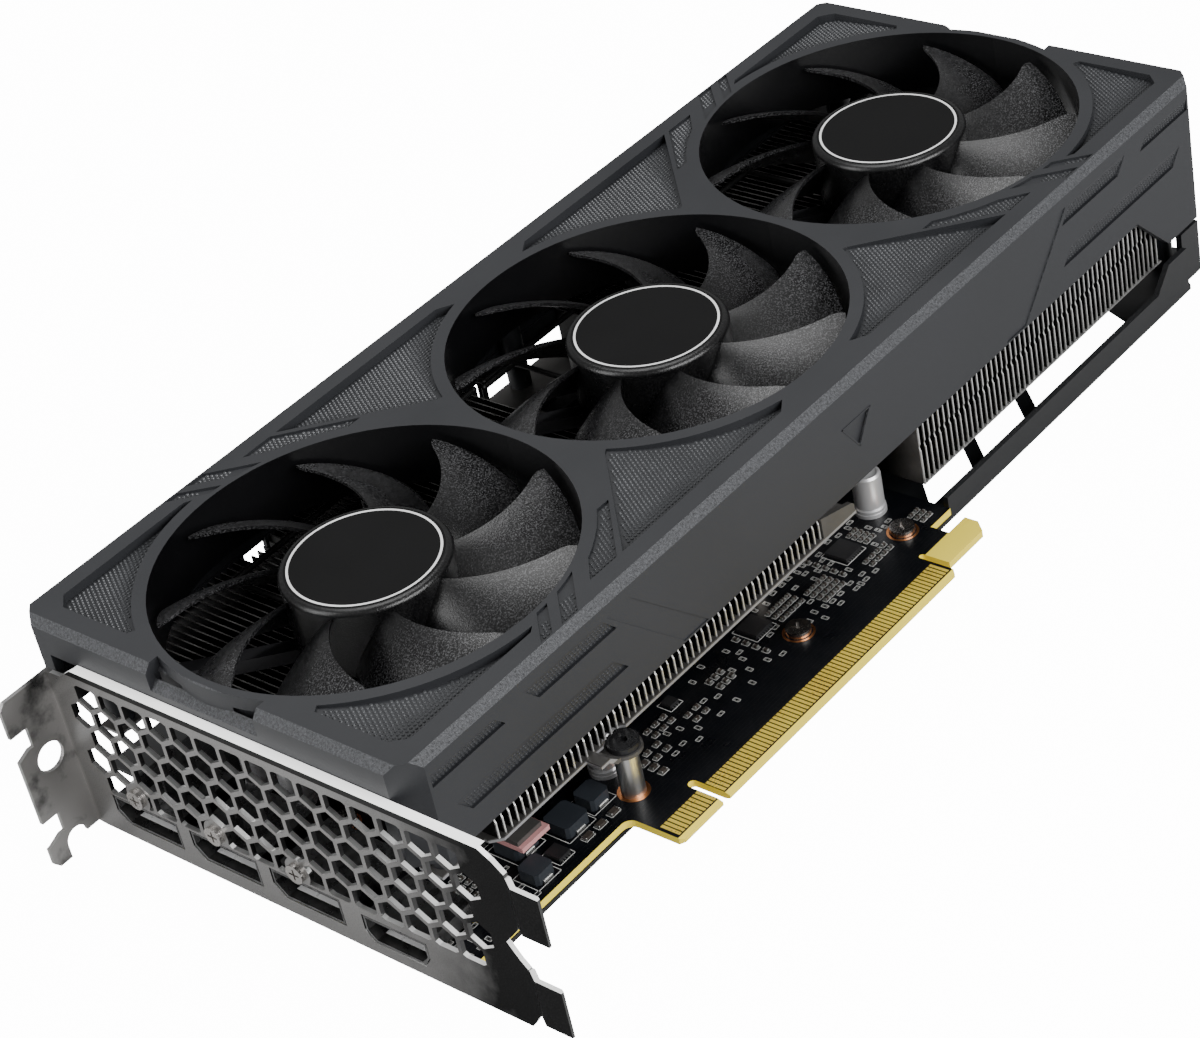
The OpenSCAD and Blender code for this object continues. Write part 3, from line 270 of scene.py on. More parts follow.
def bracket_material():
    """Nickel-plated sheet with cloudy smudges and fine grain. Painted shade darkens it towards its lower
    tabs.
    Its hole walls and edges carry painted shade, and those that face up a painted highlight. The
    stiffening lip along the top carries a painted highlight and emits light, and the bend below it carries
    painted shade."""
    kit = Nodes("bracket_steel")
    smudges = kit.noise(11.0, 5.0, 0.6)
    grain = kit.noise(0.3, 2.0, 0.7)
    flange_y = 104.0
    bend_z = corners("slot_bracket")[1].z - 1.3
    # Painted shade: the sheet darkens towards its lower tabs along a ramp broken up by the smudges; the
    # metallic and specular levels follow the same ramp.
    height = kit.ramp(kit.add(kit.axis(1), kit.times(smudges, 24.0)), 14.0, 46.0)
    plain = kit.mix(height, (0.004, 0.004, 0.0042), (0.34, 0.335, 0.33))
    speckled = kit.mix(kit.times(kit.ramp(grain, 0.45, 0.7), 0.3), plain, (0.03, 0.03, 0.03))
    dirty = kit.mix(kit.ramp(smudges, 0.34, 0.5), (0.06, 0.06, 0.06), (0.46, 0.45, 0.44))
    front = kit.below(kit.axis(1), flange_y)
    # Painted shade on hole walls and edges, and a painted highlight on the walls that face up.
    side_wall_shade = kit.times(kit.across(0, 0.6), front)
    lower_wall = kit.times(kit.above(kit.facing(2), 0.3), front)
    # Painted shade in the band under the top edge, and a painted highlight on the lip's top, which also
    # emits light.
    bend = kit.times(kit.above(kit.axis(2), bend_z), front)
    lip = kit.times(bend, kit.above(kit.facing(2), 0.8))
    color = kit.mix(kit.ramp(kit.axis(1), flange_y, flange_y + 1.0), speckled, dirty)
    color = kit.mix(side_wall_shade, color, (0.06, 0.06, 0.06))
    color = kit.mix(lower_wall, color, (0.85, 0.85, 0.84))
    color = kit.mix(bend, color, (0.006, 0.006, 0.006))
    color = kit.mix(lip, color, (0.95, 0.95, 0.94))
    metal = kit.times(kit.times(height, 0.95), kit.math("SUBTRACT", 1.0, lip))
    return kit.finish(Base_Color=color, Metallic=metal, Roughness=kit.spread(smudges, 0.26, 0.4),
                      Specular_IOR_Level=kit.add(0.03, kit.times(height, 0.2)),
                      Emission_Color=(1.0, 1.0, 1.0), Emission_Strength=kit.times(lip, 0.8),
                      Normal=kit.bump(grain, 0.012))


def fin_material():
    """Stamped aluminium. Its near edges show the bright metal; deeper in it is painted nearly black as
    painted shade, with a painted highlight on the fins' up-facing tops. The first fin of the tail stack
    has no neighbour, so its face shows, painted with light that fades into painted shade with depth."""
    kit = Nodes("fin_aluminium")
    stains = kit.noise(6.0, 4.0)
    first_x = corners("tail_fins")[0].x
    near_y = corners("tail_fins")[0].y
    # The near edges keep the bright metal; everything deeper in gets painted shade.
    edge = kit.below(kit.axis(1), near_y + 0.3)
    open_face = kit.between(kit.axis(0), first_x - 0.8, first_x + 0.2)
    # Painted light on the first fin's open face, fading into painted shade with depth.
    painted_face_light = kit.times(open_face, kit.ramp(kit.axis(1), near_y + 9.0, near_y))
    # Painted highlight on the up-facing tops of the fins.
    upper = kit.times(kit.above(kit.facing(2), 0.9), 0.6)
    bright = kit.blotches(stains, (0.72, 0.72, 0.71), (0.9, 0.9, 0.88))
    face = kit.blotches(stains, (0.09, 0.085, 0.08), (0.16, 0.15, 0.14))
    shaded_aluminium = kit.blotches(stains, (0.006, 0.006, 0.006), (0.02, 0.02, 0.019))
    inner = kit.mix(upper, kit.mix(painted_face_light, shaded_aluminium, face), bright)
    return kit.finish(Base_Color=kit.mix(edge, inner, bright), Metallic=0.8,
                      Roughness=kit.spread(stains, 0.3, 0.42), Normal=kit.bump(kit.noise(0.6, 2.0), 0.01))


def cooler_frame_material():
    """Darkened sheet metal. The cut edge of the sheet between pipes and fins is bright."""
    kit = Nodes("nickel_frame")
    clouds = kit.noise(14.0, 4.0)
    cut = kit.times(kit.across(2, 0.5), kit.between(kit.axis(2), 11.0, 12.3))
    tone = kit.blotches(clouds, (0.075, 0.072, 0.069), (0.13, 0.125, 0.12))
    return kit.finish(Base_Color=kit.mix(cut, tone, (0.35, 0.35, 0.36)), Metallic=0.6,
                      Roughness=kit.spread(clouds, 0.4, 0.5))


def socket_material(node):
    """Plated shell of a display socket, painted dark all over as painted shade. A strip of its lower wall,
    just inside the mouth, carries a painted reflection."""
    kit = Nodes(node)
    clouds = kit.noise(3.0, 3.0)
    lower_wall = kit.times(kit.above(kit.facing(2), 0.8), kit.below(kit.axis(2), corners(node)[0].z + 1.2))
    # The strip is a painted reflection in near-white.
    strip = kit.times(lower_wall, kit.between(kit.axis(0), 2.2, 3.3))
    # The shell's plated metal is painted dark as painted shade.
    shell = kit.blotches(clouds, (0.1, 0.1, 0.1), (0.22, 0.22, 0.22))
    return kit.finish(Base_Color=kit.mix(strip, shell, (0.9, 0.9, 0.9)),
                      Metallic=kit.math("SUBTRACT", 0.95, kit.times(strip, 0.7)),
                      Roughness=kit.spread(clouds, 0.24, 0.34))


def floor_material():
    """Pale and plain. It looks white to the camera but lights the object like pale grey card."""
    kit = Nodes("pale_floor")
    seen = kit.tree.nodes.new("ShaderNodeLightPath").outputs["Is Camera Ray"]
    return kit.finish(Base_Color=(0.5, 0.5, 0.5), Roughness=0.9, Emission_Strength=kit.times(seen, 14.0),
                      Emission_Color=kit.mix(kit.noise(900.0), (0.98, 0.98, 0.98), (1.0, 1.0, 1.0)))


MATERIALS = {
    "board_black": board_material(),
    "gold_plate": surface("gold_plate", (1.0, 0.7, 0.1), 0.3, 0.5, 0.12, 0.5, 0.04),
    "package_green": surface("package_green", (0.05, 0.13, 0.08), 0.5),
    "silicon": surface("silicon", (0.2, 0.21, 0.24), 0.12, 0.8),
    "grey_paste": surface("grey_paste", (0.55, 0.55, 0.53), 0.6),
    "chip_black": surface("chip_black", (0.009, 0.009, 0.01), 0.45, grain_mm=0.15),
    "choke_grey": surface("choke_grey", (0.018, 0.022, 0.028), 0.5, grain_mm=0.12, grain_depth=0.02),
    "can_metal": surface("can_metal", (0.6, 0.6, 0.61), 0.32, 0.6, 0.05, 0.2, 0.004),
    "ceramic_tan": surface("ceramic_tan", (0.035, 0.028, 0.023), 0.45, 0.0, 0.5, 0.5),
    "socket_black": surface("socket_black", (0.015, 0.015, 0.016), 0.35),
    "socket_white": surface("socket_white", (0.75, 0.73, 0.67), 0.4),
    "nickel_sheet": surface("nickel_sheet", (0.66, 0.66, 0.65), 0.34, 1.0, 0.1, 0.6, 0.002),
    "bracket_steel": bracket_material(),
    "screw_steel": surface("screw_steel", (0.5, 0.48, 0.46), 0.25, 1.0),
    "screw_black": surface("screw_black", (0.03, 0.03, 0.032), 0.3, 0.6),
    "black_sheet": surface("black_sheet", (0.0065, 0.007, 0.008), 0.42, grain_mm=0.2),
    "pad_pink": surface("pad_pink", (0.5, 0.24, 0.24), 0.65, grain_depth=0.03),
    "nickel_copper": surface("nickel_copper", (0.6, 0.55, 0.5), 0.25, 1.0),
    "fin_aluminium": fin_material(),
    "shroud_plastic": shroud_material(),
    "cable_black": surface("cable_black", (0.012, 0.012, 0.012), 0.45),
    "motor_board": surface("motor_board", (0.02, 0.07, 0.04), 0.4),
    "frame_plastic": surface("frame_plastic", (0.018, 0.018, 0.02), 0.45),
    "bearing_bronze": surface("bearing_bronze", (0.5, 0.36, 0.18), 0.4, 1.0),
    "copper_wire": surface("copper_wire", (0.5, 0.2, 0.1), 0.35, 0.9, stretch=(1, 1, 4)),
    "magnet_grey": surface("magnet_grey", (0.15, 0.15, 0.16), 0.4, 0.5),
    "fan_plastic": fan_material(),
    "hub_disc": surface("hub_disc", (0.004, 0.004, 0.0042), 0.5, grain_mm=0.2, grain_depth=0.004,
                        shine=0.12),
    # Painted highlight: the panel studs are a lighter, part-metallic copy of the shroud's plastic.
    "knurl": surface("knurl_painted_highlight", (0.056, 0.058, 0.062), 0.28, 0.3, 0.25, 0.3, 0.01),
    "white_paint": surface("white_paint", (0.8, 0.8, 0.8), 0.4),
    "print_white": surface("print_white", (0.62, 0.62, 0.6), 0.6, 0.0, 0.2, 0.2, 0.004),
    "solder": surface("solder", (0.36, 0.36, 0.35), 0.35, 1.0, 0.25, 0.3, 0.01),
    "copper_pad": surface("copper_pad", (0.62, 0.25, 0.1), 0.32, 1.0, 0.2, 0.4, 0.008),
}
OWN_MATERIALS = {
    "cooler_frame": cooler_frame_material(),
    "displayport_shells": socket_material("displayport_shells"),
    "hdmi_shell": socket_material("hdmi_shell"),
}


def paint(node, material):
    """Puts a material on a CAD node."""
    mesh = frame["nodes"][node].data
    mesh.materials.clear()
    mesh.materials.append(material)


for part in frame["record"]["subparts"]:
    name = part["node"]
    paint(name, OWN_MATERIALS.get(name, MATERIALS[part["material_slot"]]))


# ------------------------------------------------------------------ mesh helpers

def add_mesh(name, points, faces, material, smooth_angle=35.0):
    """A new object from points in millimetres. Faces that meet at less than smooth_angle shade as one."""
    mesh = bpy.data.meshes.new(name)
    mesh.from_pydata([Vector(p) * MM for p in points], [], faces)
    mesh.materials.append(material)
    made = bpy.data.objects.new(name, mesh)
    bpy.context.scene.collection.objects.link(made)
    tidy = bmesh.new()
    tidy.from_mesh(mesh)
    bmesh.ops.recalc_face_normals(tidy, faces=tidy.faces)
    tidy.to_mesh(mesh)
    tidy.free()
    mesh.shade_smooth()
    mesh.set_sharp_from_angle(angle=math.radians(smooth_angle))
    return made


def grid_faces(columns, rows, start=0):
    """Quads of a grid whose points run along a row first."""
    faces = []
    for r in range(rows - 1):
        for c in range(columns - 1):
            corner = start + r * columns + c
            faces.append((corner, corner + 1, corner + columns + 1, corner + columns))
    return faces


def turned(name, profile, centre, material, steps=96):
    """A closed ring or cup: profile is a closed list of (radius, height) turned about +Z."""
    count = len(profile)
    points = []
    faces = []
    for s in range(steps):
        angle = TURN * s / steps
        for r, z in profile:
            points.append((centre[0] + r * math.cos(angle), centre[1] + r * math.sin(angle), z))
        here = s * count
        after = (s + 1) % steps * count
        for c in range(count):
            d = (c + 1) % count
            faces.append((here + c, here + d, after + d, after + c))
    return add_mesh(name, points, faces, material)


def arc(centre, radius, start, end, steps):
    """Points on a circle, from start to end in degrees."""
    made = []
    for s in range(steps + 1):
        angle = math.radians(start + (end - start) * s / steps)
        made.append((centre[0] + radius * math.cos(angle), centre[1] + radius * math.sin(angle)))
    return made


# ------------------------------------------------------------------ fans

def blade_height(u, v):
    """Height of a blade's middle surface: u runs from hub to tip, v from leading edge back."""
    rise = 11.0 - 1.6 * u
    return HUB_TOP - 2.0 + 0.6 * u - rise * (0.55 * v + 0.45 * v * v)


def blade_thickness(u, v):
    """Half of a blade's thickness: rounded in front, thin at the back and towards the tip."""
    section = math.sin(math.pi * min(1.0, 0.15 + 0.85 * v)) ** 0.5
    return (0.5 * section + 0.12) * (1.0 - 0.35 * u)


def blade_points(u_steps, v_steps, side):
    """One face of a blade: side is 1 for the upper and -1 for the lower."""
    root = HUB_R - 0.6
    corner_start = 0.86
    points = []
    for i in range(u_steps + 1):
        u = i / u_steps
        r = root + (TIP_R - root) * u
        lead = 26.0 * u ** 1.2
        chord = 33.0 - 3.0 * u
        # The tip's corners are rounded by drawing the blade in over its last part.
        corner = max(0.0, (u - corner_start) / (1.0 - corner_start))
        draw_in = 0.08 * corner ** 2
        for j in range(v_steps + 1):
            v = j / v_steps
            along = draw_in + (1.0 - 2.0 * draw_in) * v
            angle = math.radians(lead - chord * along)
            z = blade_height(u, along) + side * blade_thickness(u, v)
            points.append((r * math.cos(angle), r * math.sin(angle), z))
    return points


def blade_faces(u_steps, v_steps, start):
    """Both faces of a blade and the strip that closes its outline."""
    row = v_steps + 1
    side = (u_steps + 1) * row
    faces = grid_faces(row, u_steps + 1, start)
    faces += [tuple(reversed(f)) for f in grid_faces(row, u_steps + 1, start + side)]
    rim = list(range(row))
    rim += [i * row + v_steps for i in range(1, u_steps + 1)]
    rim += [u_steps * row + j for j in range(v_steps - 1, -1, -1)]
    rim += [i * row for i in range(u_steps - 1, 0, -1)]
    for a, b in zip(rim, rim[1:] + rim[:1]):
        faces.append((start + a, start + side + a, start + side + b, start + b))
    return faces


def impeller(n):
    """Nine swept blades around a cup-shaped hub with a rounded rim."""
    u_steps, v_steps = 16, 12
    rotor = f"fan_{n}_rotor"
    centre = (FAN_X[n - 1], MID_Y)
    both = blade_points(u_steps, v_steps, 1) + blade_points(u_steps, v_steps, -1)
    points = []
    faces = []
    for b in range(BLADES):
        turn = Matrix.Rotation(TURN * b / BLADES, 3, "Z")
        faces += blade_faces(u_steps, v_steps, len(points))
        points += [turn @ Vector(p) + Vector((*centre, 0)) for p in both]
    blades = add_mesh(f"fan_{n}_blades", points, faces, MATERIALS["fan_plastic"], 50)
    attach(blades, rotor)
    hub = turned(f"fan_{n}_hub", hub_profile(), centre, MATERIALS["fan_plastic"])
    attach(hub, rotor)
    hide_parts(f"fan_{n}_impeller")
    ring = turned(f"fan_{n}_hub_ring", flat_ring(13.95, 14.4, HUB_TOP - 0.05, HUB_TOP + 0.03), centre,
                  MATERIALS["white_paint"])
    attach(ring, rotor)


def hub_profile():
    """Half section of the hub: a seat for the cap, a rounded rim, a skirt, and a boss on the shaft."""
    seat_r = 15.0
    rim_r = 1.3
    boss_r = 3.4
    shaft_r = 1.55
    skirt_low = 26.4
    skirt_r = 14.0
    web_z = HUB_TOP - 2.2
    profile = [(seat_r - 0.1, HUB_TOP - 0.3), (seat_r, HUB_TOP)]
    profile += [(HUB_R + 0.2 - rim_r + r, z) for r, z in arc((0, HUB_TOP - rim_r), rim_r, 90, 0, 8)]
    profile += [(HUB_R, HUB_TOP - 2 * rim_r), (HUB_R, skirt_low), (skirt_r, skirt_low), (skirt_r, web_z)]
    profile += [(boss_r, web_z), (boss_r, web_z - 2.4), (shaft_r, web_z - 2.4)]
    profile += [(shaft_r, HUB_TOP - 0.5), (seat_r - 0.1, HUB_TOP - 0.5)]
    return profile


def flat_ring(inner_r, outer_r, low, high):
    """Section of a flat ring, for turned()."""
    return [(inner_r, low), (outer_r, low), (outer_r, high), (inner_r, high)]


for n in (1, 2, 3):
    impeller(n)


# ------------------------------------------------------------------ shroud

def soften(node, width_mm, segments=2):
    """A small rounded edge on a CAD node, so that its edges catch the light."""
    made = frame["nodes"][node].modifiers.new("soft_edges", "BEVEL")
    made.width = width_mm * MM
    made.segments = segments
    made.limit_method = "ANGLE"
    made.angle_limit = math.radians(30)
    made.harden_normals = True


soften("shroud", 0.18)
soften("slot_bracket", 0.08, 1)


def arrow_edges():
    """A fine raised edge round the triangle pressed into each long wall."""
    half_w = 4.4
    top_z = 33.3
    tip_z = 27.2
    half_line = 0.14
    sunk = 0.3
    proud = 0.1
    box_sides = ((0, 1, 3, 2), (4, 6, 7, 5), (0, 4, 5, 1), (2, 3, 7, 6), (0, 2, 6, 4), (1, 5, 7, 3))
    outline = ((MID_X - half_w, top_z), (MID_X + half_w, top_z), (MID_X, tip_z))
    triangle = [Vector((x, 0, z)) for x, z in outline]
    points = []
    faces = []
    for wall, out in ((WALL_Y, -1), (2 * MID_Y - WALL_Y, 1)):
        for a, b in zip(triangle, triangle[1:] + triangle[:1]):
            along = (b - a).normalized() * half_line
            across = Vector((0, 1, 0)).cross(along)
            start = len(points)
            for level in (sunk, -proud):
                for end in (a - along, b + along):
                    for side in (-1, 1):
                        points.append(end + across * side + Vector((0, wall - out * level, 0)))
            for quad in box_sides:
                faces.append(tuple(start + k for k in quad))
    edges = add_mesh("arrow_edges", points, faces, MATERIALS["shroud_plastic"], 20)
    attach(edges, "card")


arrow_edges()


# ------------------------------------------------------------------ knurled floors of the sunk panels

PITCH = 0.95
SLOT_PITCH = 0.85
PANEL_Y = 20.7
PANEL_END_Y = MID_Y - 21.0


def inside(point, outline):
    """True if a point lies in a polygon."""
    x, y = point
    found = False
    for (x0, y0), (x1, y1) in zip(outline, outline[1:] + outline[:1]):
        if (y0 > y) != (y1 > y) and x < (x1 - x0) * (y - y0) / (y1 - y0) + x0:
            found = not found
    return found


def packed(outline, pitch, keep=lambda point: True):
    """Points of a staggered grid that lie in an outline and pass keep."""
    us = [p[0] for p in outline]
    vs = [p[1] for p in outline]
    row_step = pitch * math.sin(math.radians(60))
    rows = int((max(vs) - min(vs)) / row_step)
    columns = int((max(us) - min(us)) / pitch) + 1
    made = []
    for r in range(rows + 1):
        for c in range(columns):
            point = (min(us) + (c + 0.5 * (r % 2)) * pitch, min(vs) + (r + 0.5) * row_step)
            if inside(point, outline) and keep(point):
                made.append(point)
    return made


class Studs:
    """Collects many small blunt six-sided studs and makes them one piece."""

    def __init__(self):
        self.points = []
        self.faces = []

    def add(self, base, out, low_r=0.4, high_r=0.25, height=0.22, sink=0.08):
        """A stud at base that stands out along the unit direction out."""
        out = Vector(out)
        side = out.orthogonal().normalized()
        other = out.cross(side)
        start = len(self.points)
        for radius, level in ((low_r, -sink), (high_r, height)):
            for k in range(6):
                angle = TURN * k / 6
                around = side * (radius * math.cos(angle)) + other * (radius * math.sin(angle))
                self.points.append(Vector(base) + around + out * level)
        self.faces.append(tuple(start + 5 - k for k in range(6)))
        self.faces.append(tuple(start + 6 + k for k in range(6)))
        for k in range(6):
            n = (k + 1) % 6
            self.faces.append((start + k, start + n, start + 6 + n, start + 6 + k))

    def make(self, name, material):
        piece = add_mesh(name, self.points, self.faces, material, 20)
        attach(piece, "card")


def away_from_fan(fan):
    """A test that keeps the studs off the raised lip round a fan."""
    return lambda p: math.hypot(p[0] - fan, p[1] - MID_Y) > LIP_R + 0.45


def panel_floor(y):
    """Height of the sloping panel floors, drawn for the near side."""
    return TOP_Z - 0.5 - 1.4 * (PANEL_END_Y - y) / (PANEL_END_Y - PANEL_Y + 1.0)


def strip_floor(y):
    """Height of the strips' and slashes' floors, which is the same at every y."""
    return TOP_Z - 0.5


def four_ways(points):
    """Each point with its mirror images across the shroud's two middle lines."""
    for x, y in points:
        for mirror_x in (False, True):
            for mirror_y in (False, True):
                yield (2 * MID_X - x if mirror_x else x), (2 * MID_Y - y if mirror_y else y), y


def knurl_panels():
    """Studs on the floors of the sunk panels, strips and slashes of the front plate."""
    near = PANEL_Y + 0.4
    corner = [(8.1, PANEL_Y + 2.9), (10.4, near), (40.6, near), (44, 22), (FAN_X[0], MID_Y), (8.1, 40.0)]
    between_fans = [(67.4, near), (112.2, near), (117, 24), (MID_X, MID_Y), (88.2, 42.2)]
    strip = [(57.8, near), (64.3, near), (76.2, 32.6), (70.8, 32.6)]
    slash_a = [(40.4, 17.6), (42.6, 17.6), (48.8, 24.0), (46.6, 24.0)]
    slash_b = [(46.0, 17.6), (49.4, 17.6), (57.2, 25.2), (53.6, 25.2)]
    studs = Studs()
    for outline, fan, floor in ((corner, FAN_X[0], panel_floor), (between_fans, MID_X, panel_floor),
                                (strip, FAN_X[0], strip_floor), (slash_a, FAN_X[0], strip_floor),
                                (slash_b, FAN_X[0], strip_floor)):
        for x, y, near_y in four_ways(packed(outline, PITCH, away_from_fan(fan))):
            studs.add((x, y, floor(near_y)), (0, 0, 1))
    studs.make("panel_knurl", MATERIALS["knurl"])


def knurl_side_slots():
    """The long walls' slots are deepest along their lower edge."""
    depth = 0.6
    # Each slot: its outline along the wall, then the heights at which it is deepest and runs out.
    slots = [([(8.2, 35.5), (25.6, 35.5), (23.4, 37.6), (8.2, 37.6)], 35.4, 37.9),
             ([(34.8, 34.6), (54.9, 34.6), (52.2, 37.6), (32.2, 37.6)], 34.5, 38.0),
             ([(14.8, 25.5), (55.6, 25.5), (52.5, 28.6), (12.2, 28.6)], 25.4, 29.0)]
    studs = Studs()
    for outline, low, high in slots:
        for x, z in packed(outline, SLOT_PITCH):
            sunk = depth * (high - z) / (high - low)
            for end in (x, 2 * MID_X - x):
                studs.add((end, WALL_Y + sunk, z), (0, -1, 0), 0.36, 0.2, 0.1)
                studs.add((end, 2 * MID_Y - WALL_Y - sunk, z), (0, 1, 0), 0.36, 0.2, 0.1)
    studs.make("side_slot_knurl", MATERIALS["shroud_plastic"])


knurl_panels()
knurl_side_slots()


# ------------------------------------------------------------------ board details

def solids(node):
    """Lowest and highest corner, in millimetres, of each separate solid of a CAD node."""
    mesh = bmesh.new()
    mesh.from_mesh(frame["nodes"][node].data)
    bmesh.ops.remove_doubles(mesh, verts=mesh.verts, dist=0.001 * MM)
    left = set(mesh.verts)
    boxes = []
    while left:
        queue = [left.pop()]
        low = queue[0].co.copy()
        high = queue[0].co.copy()
        while queue:
            vert = queue.pop()
            low = Vector(map(min, low, vert.co))
            high = Vector(map(max, high, vert.co))
            for edge in vert.link_edges:
                other = edge.other_vert(vert)
                if other in left:
                    left.remove(other)
                    queue.append(other)
        boxes.append((low / MM, high / MM))
    mesh.free()
    return sorted(boxes, key=lambda b: tuple(round(v, 3) for v in (*b[0], *b[1])))


class Blocks:
    """Collects many small blocks and makes them one piece."""

    def __init__(self):
        self.points = []
        self.faces = []

    def add(self, low, high, bevel=0.0):
        """A block whose top edges are drawn in by bevel."""
        start = len(self.points)
        for z, inset in ((low[2], 0.0), (high[2] - bevel, 0.0), (high[2], bevel)):
            self.points += [(low[0] + inset, low[1] + inset, z), (high[0] - inset, low[1] + inset, z),
                            (high[0] - inset, high[1] - inset, z), (low[0] + inset, high[1] - inset, z)]
        self.faces.append((start + 3, start + 2, start + 1, start))
        self.faces.append((start + 8, start + 9, start + 10, start + 11))
        for level in (start, start + 4):
            for k in range(4):
                n = (k + 1) % 4
                self.faces.append((level + k, level + n, level + 4 + n, level + 4 + k))

    def outline(self, low, high, gap=0.0, line=0.11):
        """A printed line round a rectangle on the board, gap outside it."""
        x0, y0 = low[0] - gap, low[1] - gap
        x1, y1 = high[0] + gap, high[1] + gap
        top = 0.02
        self.add((x0, y0, 0.0), (x1, y0 + line, top))
        self.add((x0, y1 - line, 0.0), (x1, y1, top))
        self.add((x0, y0, 0.0), (x0 + line, y1, top))
        self.add((x1 - line, y0, 0.0), (x1, y1, top))

    def make(self, name, material):
        piece = add_mesh(name, self.points, self.faces, material, 10)
        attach(piece, "card")


def solder_small_components(ends):
    """A tinned cap on both ends of each chip resistor and capacitor."""
    cap = 0.24
    for low, high in solids("small_components"):
        axis = 0 if high.x - low.x > high.y - low.y else 1
        for at_start in (True, False):
            a = Vector((low.x - 0.04, low.y - 0.04, 0.0))
            b = Vector((high.x + 0.04, high.y + 0.04, high.z + 0.03))
            if at_start:
                b[axis] = low[axis] + cap
            else:
                a[axis] = high[axis] - cap
            ends.add(a, b, 0.06)


def solder_inductors(ends):
    """A terminal in the middle of each choke's near and far side."""
    half_w = 1.2
    for low, high in solids("inductors"):
        centre = (low.x + high.x) / 2
        for y0, y1 in ((low.y - 0.4, low.y + 0.3), (high.y - 0.3, high.y + 0.4)):
            ends.add((centre - half_w, y0, 0.0), (centre + half_w, y1, 0.7), 0.15)


def solder_controller_pins(ends):
    """Rows of pins along the near and far side of each controller chip."""
    step = 0.65
    wide = 0.28
    long = 0.35
    for low, high in solids("controller_chips"):
        count = int((high.x - low.x - 0.8) / step)
        for k in range(count + 1):
            x = low.x + 0.4 + k * step
            ends.add((x, low.y - long, 0.0), (x + wide, low.y + 0.02, 0.2))
            ends.add((x, high.y - 0.02, 0.0), (x + wide, high.y + long, 0.2))


def clashes(x, y, w, h, taken):
    """True if a w by h rectangle comes closer than a small gap to a taken box."""
    gap = 0.35
    for low, high in taken:
        if x + w + gap > low.x and x - gap < high.x and y + h + gap > low.y and y - gap < high.y:
            return True
    return False


def empty_footprints(printed, ends):
    """Loose footprints with no part fitted, densest near the far end and beside the bracket."""
    nodes = ("small_components", "controller_chips", "board_screws", "inductors", "support_pillars",
             "capacitors", "thermal_pads")
    taken = [box for node in nodes for box in solids(node)]
    long, short = 1.5, 0.9
    edge, pad = 0.2, 0.35
    # Each zone: its range in x, its range in y, and how many places are tried in it.
    zones = ((56, 100, 13.6, 26, 60), (100, 138, 13.4, 28, 260), (4, 24, 13.4, 30, 160))
    for x0, x1, y0, y1, tries in zones:
        for _ in range(tries):
            x = x0 + dice.random() * (x1 - x0)
            y = y0 + dice.random() * (y1 - y0)
            w, h = (long, short) if dice.random() < 0.5 else (short, long)
            if clashes(x, y, w, h, taken):
                continue
            taken.append((Vector((x, y, 0)), Vector((x + w, y + h, 0))))
            printed.outline((x, y), (x + w, y + h), line=0.1)
            pad_w = pad if w > h else w - 2 * edge
            pad_h = h - 2 * edge if w > h else pad
            for px, py in ((x + edge, y + edge), (x + w - edge - pad_w, y + h - edge - pad_h)):
                ends.add((px, py, 0.0), (px + pad_w, py + pad_h, 0.05))


def centre_of(box):
    """Middle of a box in x and y."""
    low, high = box
    return (low.x + high.x) / 2, (low.y + high.y) / 2


def board_pad(name, centre, inner_r, outer_r):
    """A thin copper ring on the board."""
    ring = turned(name, flat_ring(inner_r, outer_r, 0.0, 0.04), centre, MATERIALS["copper_pad"], 48)
    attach(ring, "card")


def cap_teeth(centre):
    """Fine teeth round the top of the near pillar's cap."""
    top_z = solids("pillar_caps")[0][1].z
    count = 40
    reach = 2.6
    teeth = Studs()
    for k in range(count):
        angle = TURN * k / count
        place = (centre[0] + reach * math.cos(angle), centre[1] + reach * math.sin(angle), top_z)
        teeth.add(place, (0, 0, 1), 0.16, 0.1, 0.12)
    teeth.make("pillar_cap_teeth", MATERIALS["screw_black"])


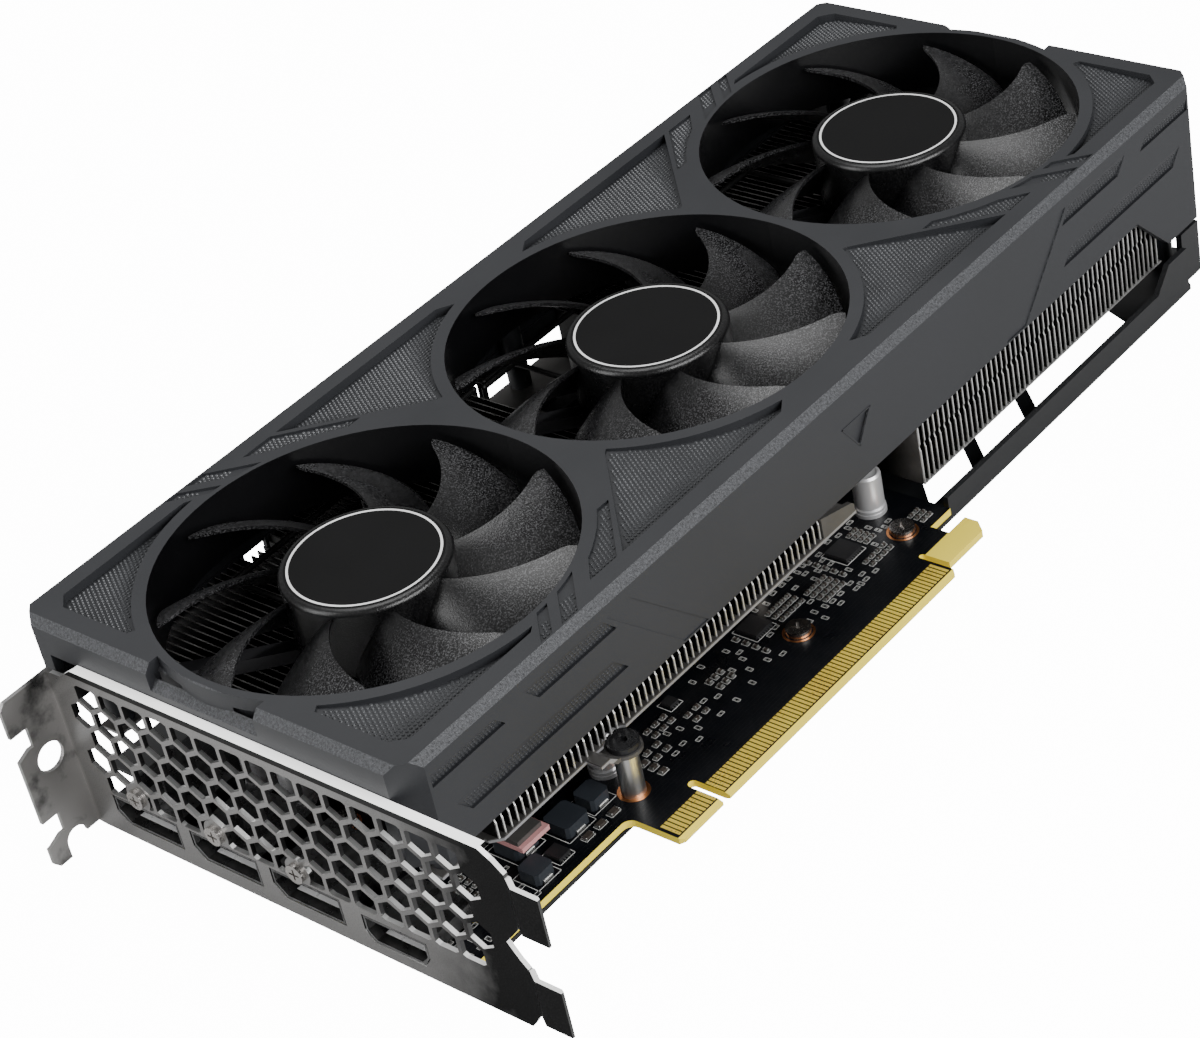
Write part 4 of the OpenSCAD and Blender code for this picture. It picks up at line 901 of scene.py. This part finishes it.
def board_details():
    """Printed lines, solder, pads and the cap's teeth on the board's component side."""
    printed = Blocks()
    ends = Blocks()
    for low, high in solids("small_components"):
        printed.outline(low, high, 0.26)
    for node, gap in (("inductors", 0.7), ("controller_chips", 0.6), ("power_stages", 0.5)):
        for low, high in solids(node):
            printed.outline(low, high, gap, 0.13)
    solder_small_components(ends)
    solder_inductors(ends)
    solder_controller_pins(ends)
    empty_footprints(printed, ends)
    printed.make("board_print", MATERIALS["print_white"])
    ends.make("solder_ends", MATERIALS["solder"])
    for k, box in enumerate(solids("board_screws")):
        board_pad(f"screw_pad_{k + 1}", centre_of(box), 2.7, 3.2)
    pillar = centre_of(solids("support_pillars")[0])
    board_pad("pillar_pad", pillar, 2.2, 3.1)
    cap_teeth(pillar)


board_details()


# ------------------------------------------------------------------ stage

def build_stage():
    """A wide floor just below the card. Half its width is in metres."""
    mesh = bpy.data.meshes.new("floor")
    half = 6.0
    level = -6.6 * MM
    square = ((-half, -half), (half, -half), (half, half), (-half, half))
    mesh.from_pydata([(x, y, level) for x, y in square], [], [(0, 1, 2, 3)])
    floor = bpy.data.objects.new("floor", mesh)
    bpy.context.scene.collection.objects.link(floor)
    mesh.materials.append(floor_material())


def area_light(name, place, size, power):
    """A rectangular light that looks at the middle of the card. Place and size are in metres."""
    data = bpy.data.lights.new(name, "AREA")
    data.shape = "RECTANGLE"
    data.size, data.size_y = size
    data.energy = power
    light = bpy.data.objects.new(name, data)
    light.location = place
    aim = Vector((0.12, 0.06, 0.02)) - Vector(place)
    light.rotation_euler = aim.to_track_quat("-Z", "Y").to_euler()
    bpy.context.scene.collection.objects.link(light)


def build_world():
    """Even white light from all round."""
    world = bpy.data.worlds.new("studio")
    world.use_nodes = True
    background = world.node_tree.nodes["Background"]
    background.inputs["Color"].default_value = (1, 1, 1, 1)
    background.inputs["Strength"].default_value = 0.35
    bpy.context.scene.world = world


def build_camera():
    """The camera stands low in front of the bracket's near corner."""
    data = bpy.data.cameras.new("camera")
    data.sensor_width = 36.0
    data.lens = 91.9
    camera = bpy.data.objects.new("camera", data)
    right = Vector((0.62502, -0.75971, -0.17943))
    up = Vector((0.54069, 0.25554, 0.80147))
    back = right.cross(up)
    turn = Matrix((right, up, back)).transposed().to_4x4()
    camera.matrix_world = Matrix.Translation(Vector((-232.87, -292.90, 350.62)) * MM) @ turn
    bpy.context.scene.collection.objects.link(camera)
    bpy.context.scene.camera = camera


build_stage()
area_light("top_light", (0.25, 0.2, 1.0), (0.7, 0.7), 7)
area_light("left_light", (-0.8, 0.5, 0.45), (0.4, 0.9), 8)
area_light("near_light", (0.1, -0.9, 0.5), (1.0, 0.5), 16)
build_world()
build_camera()
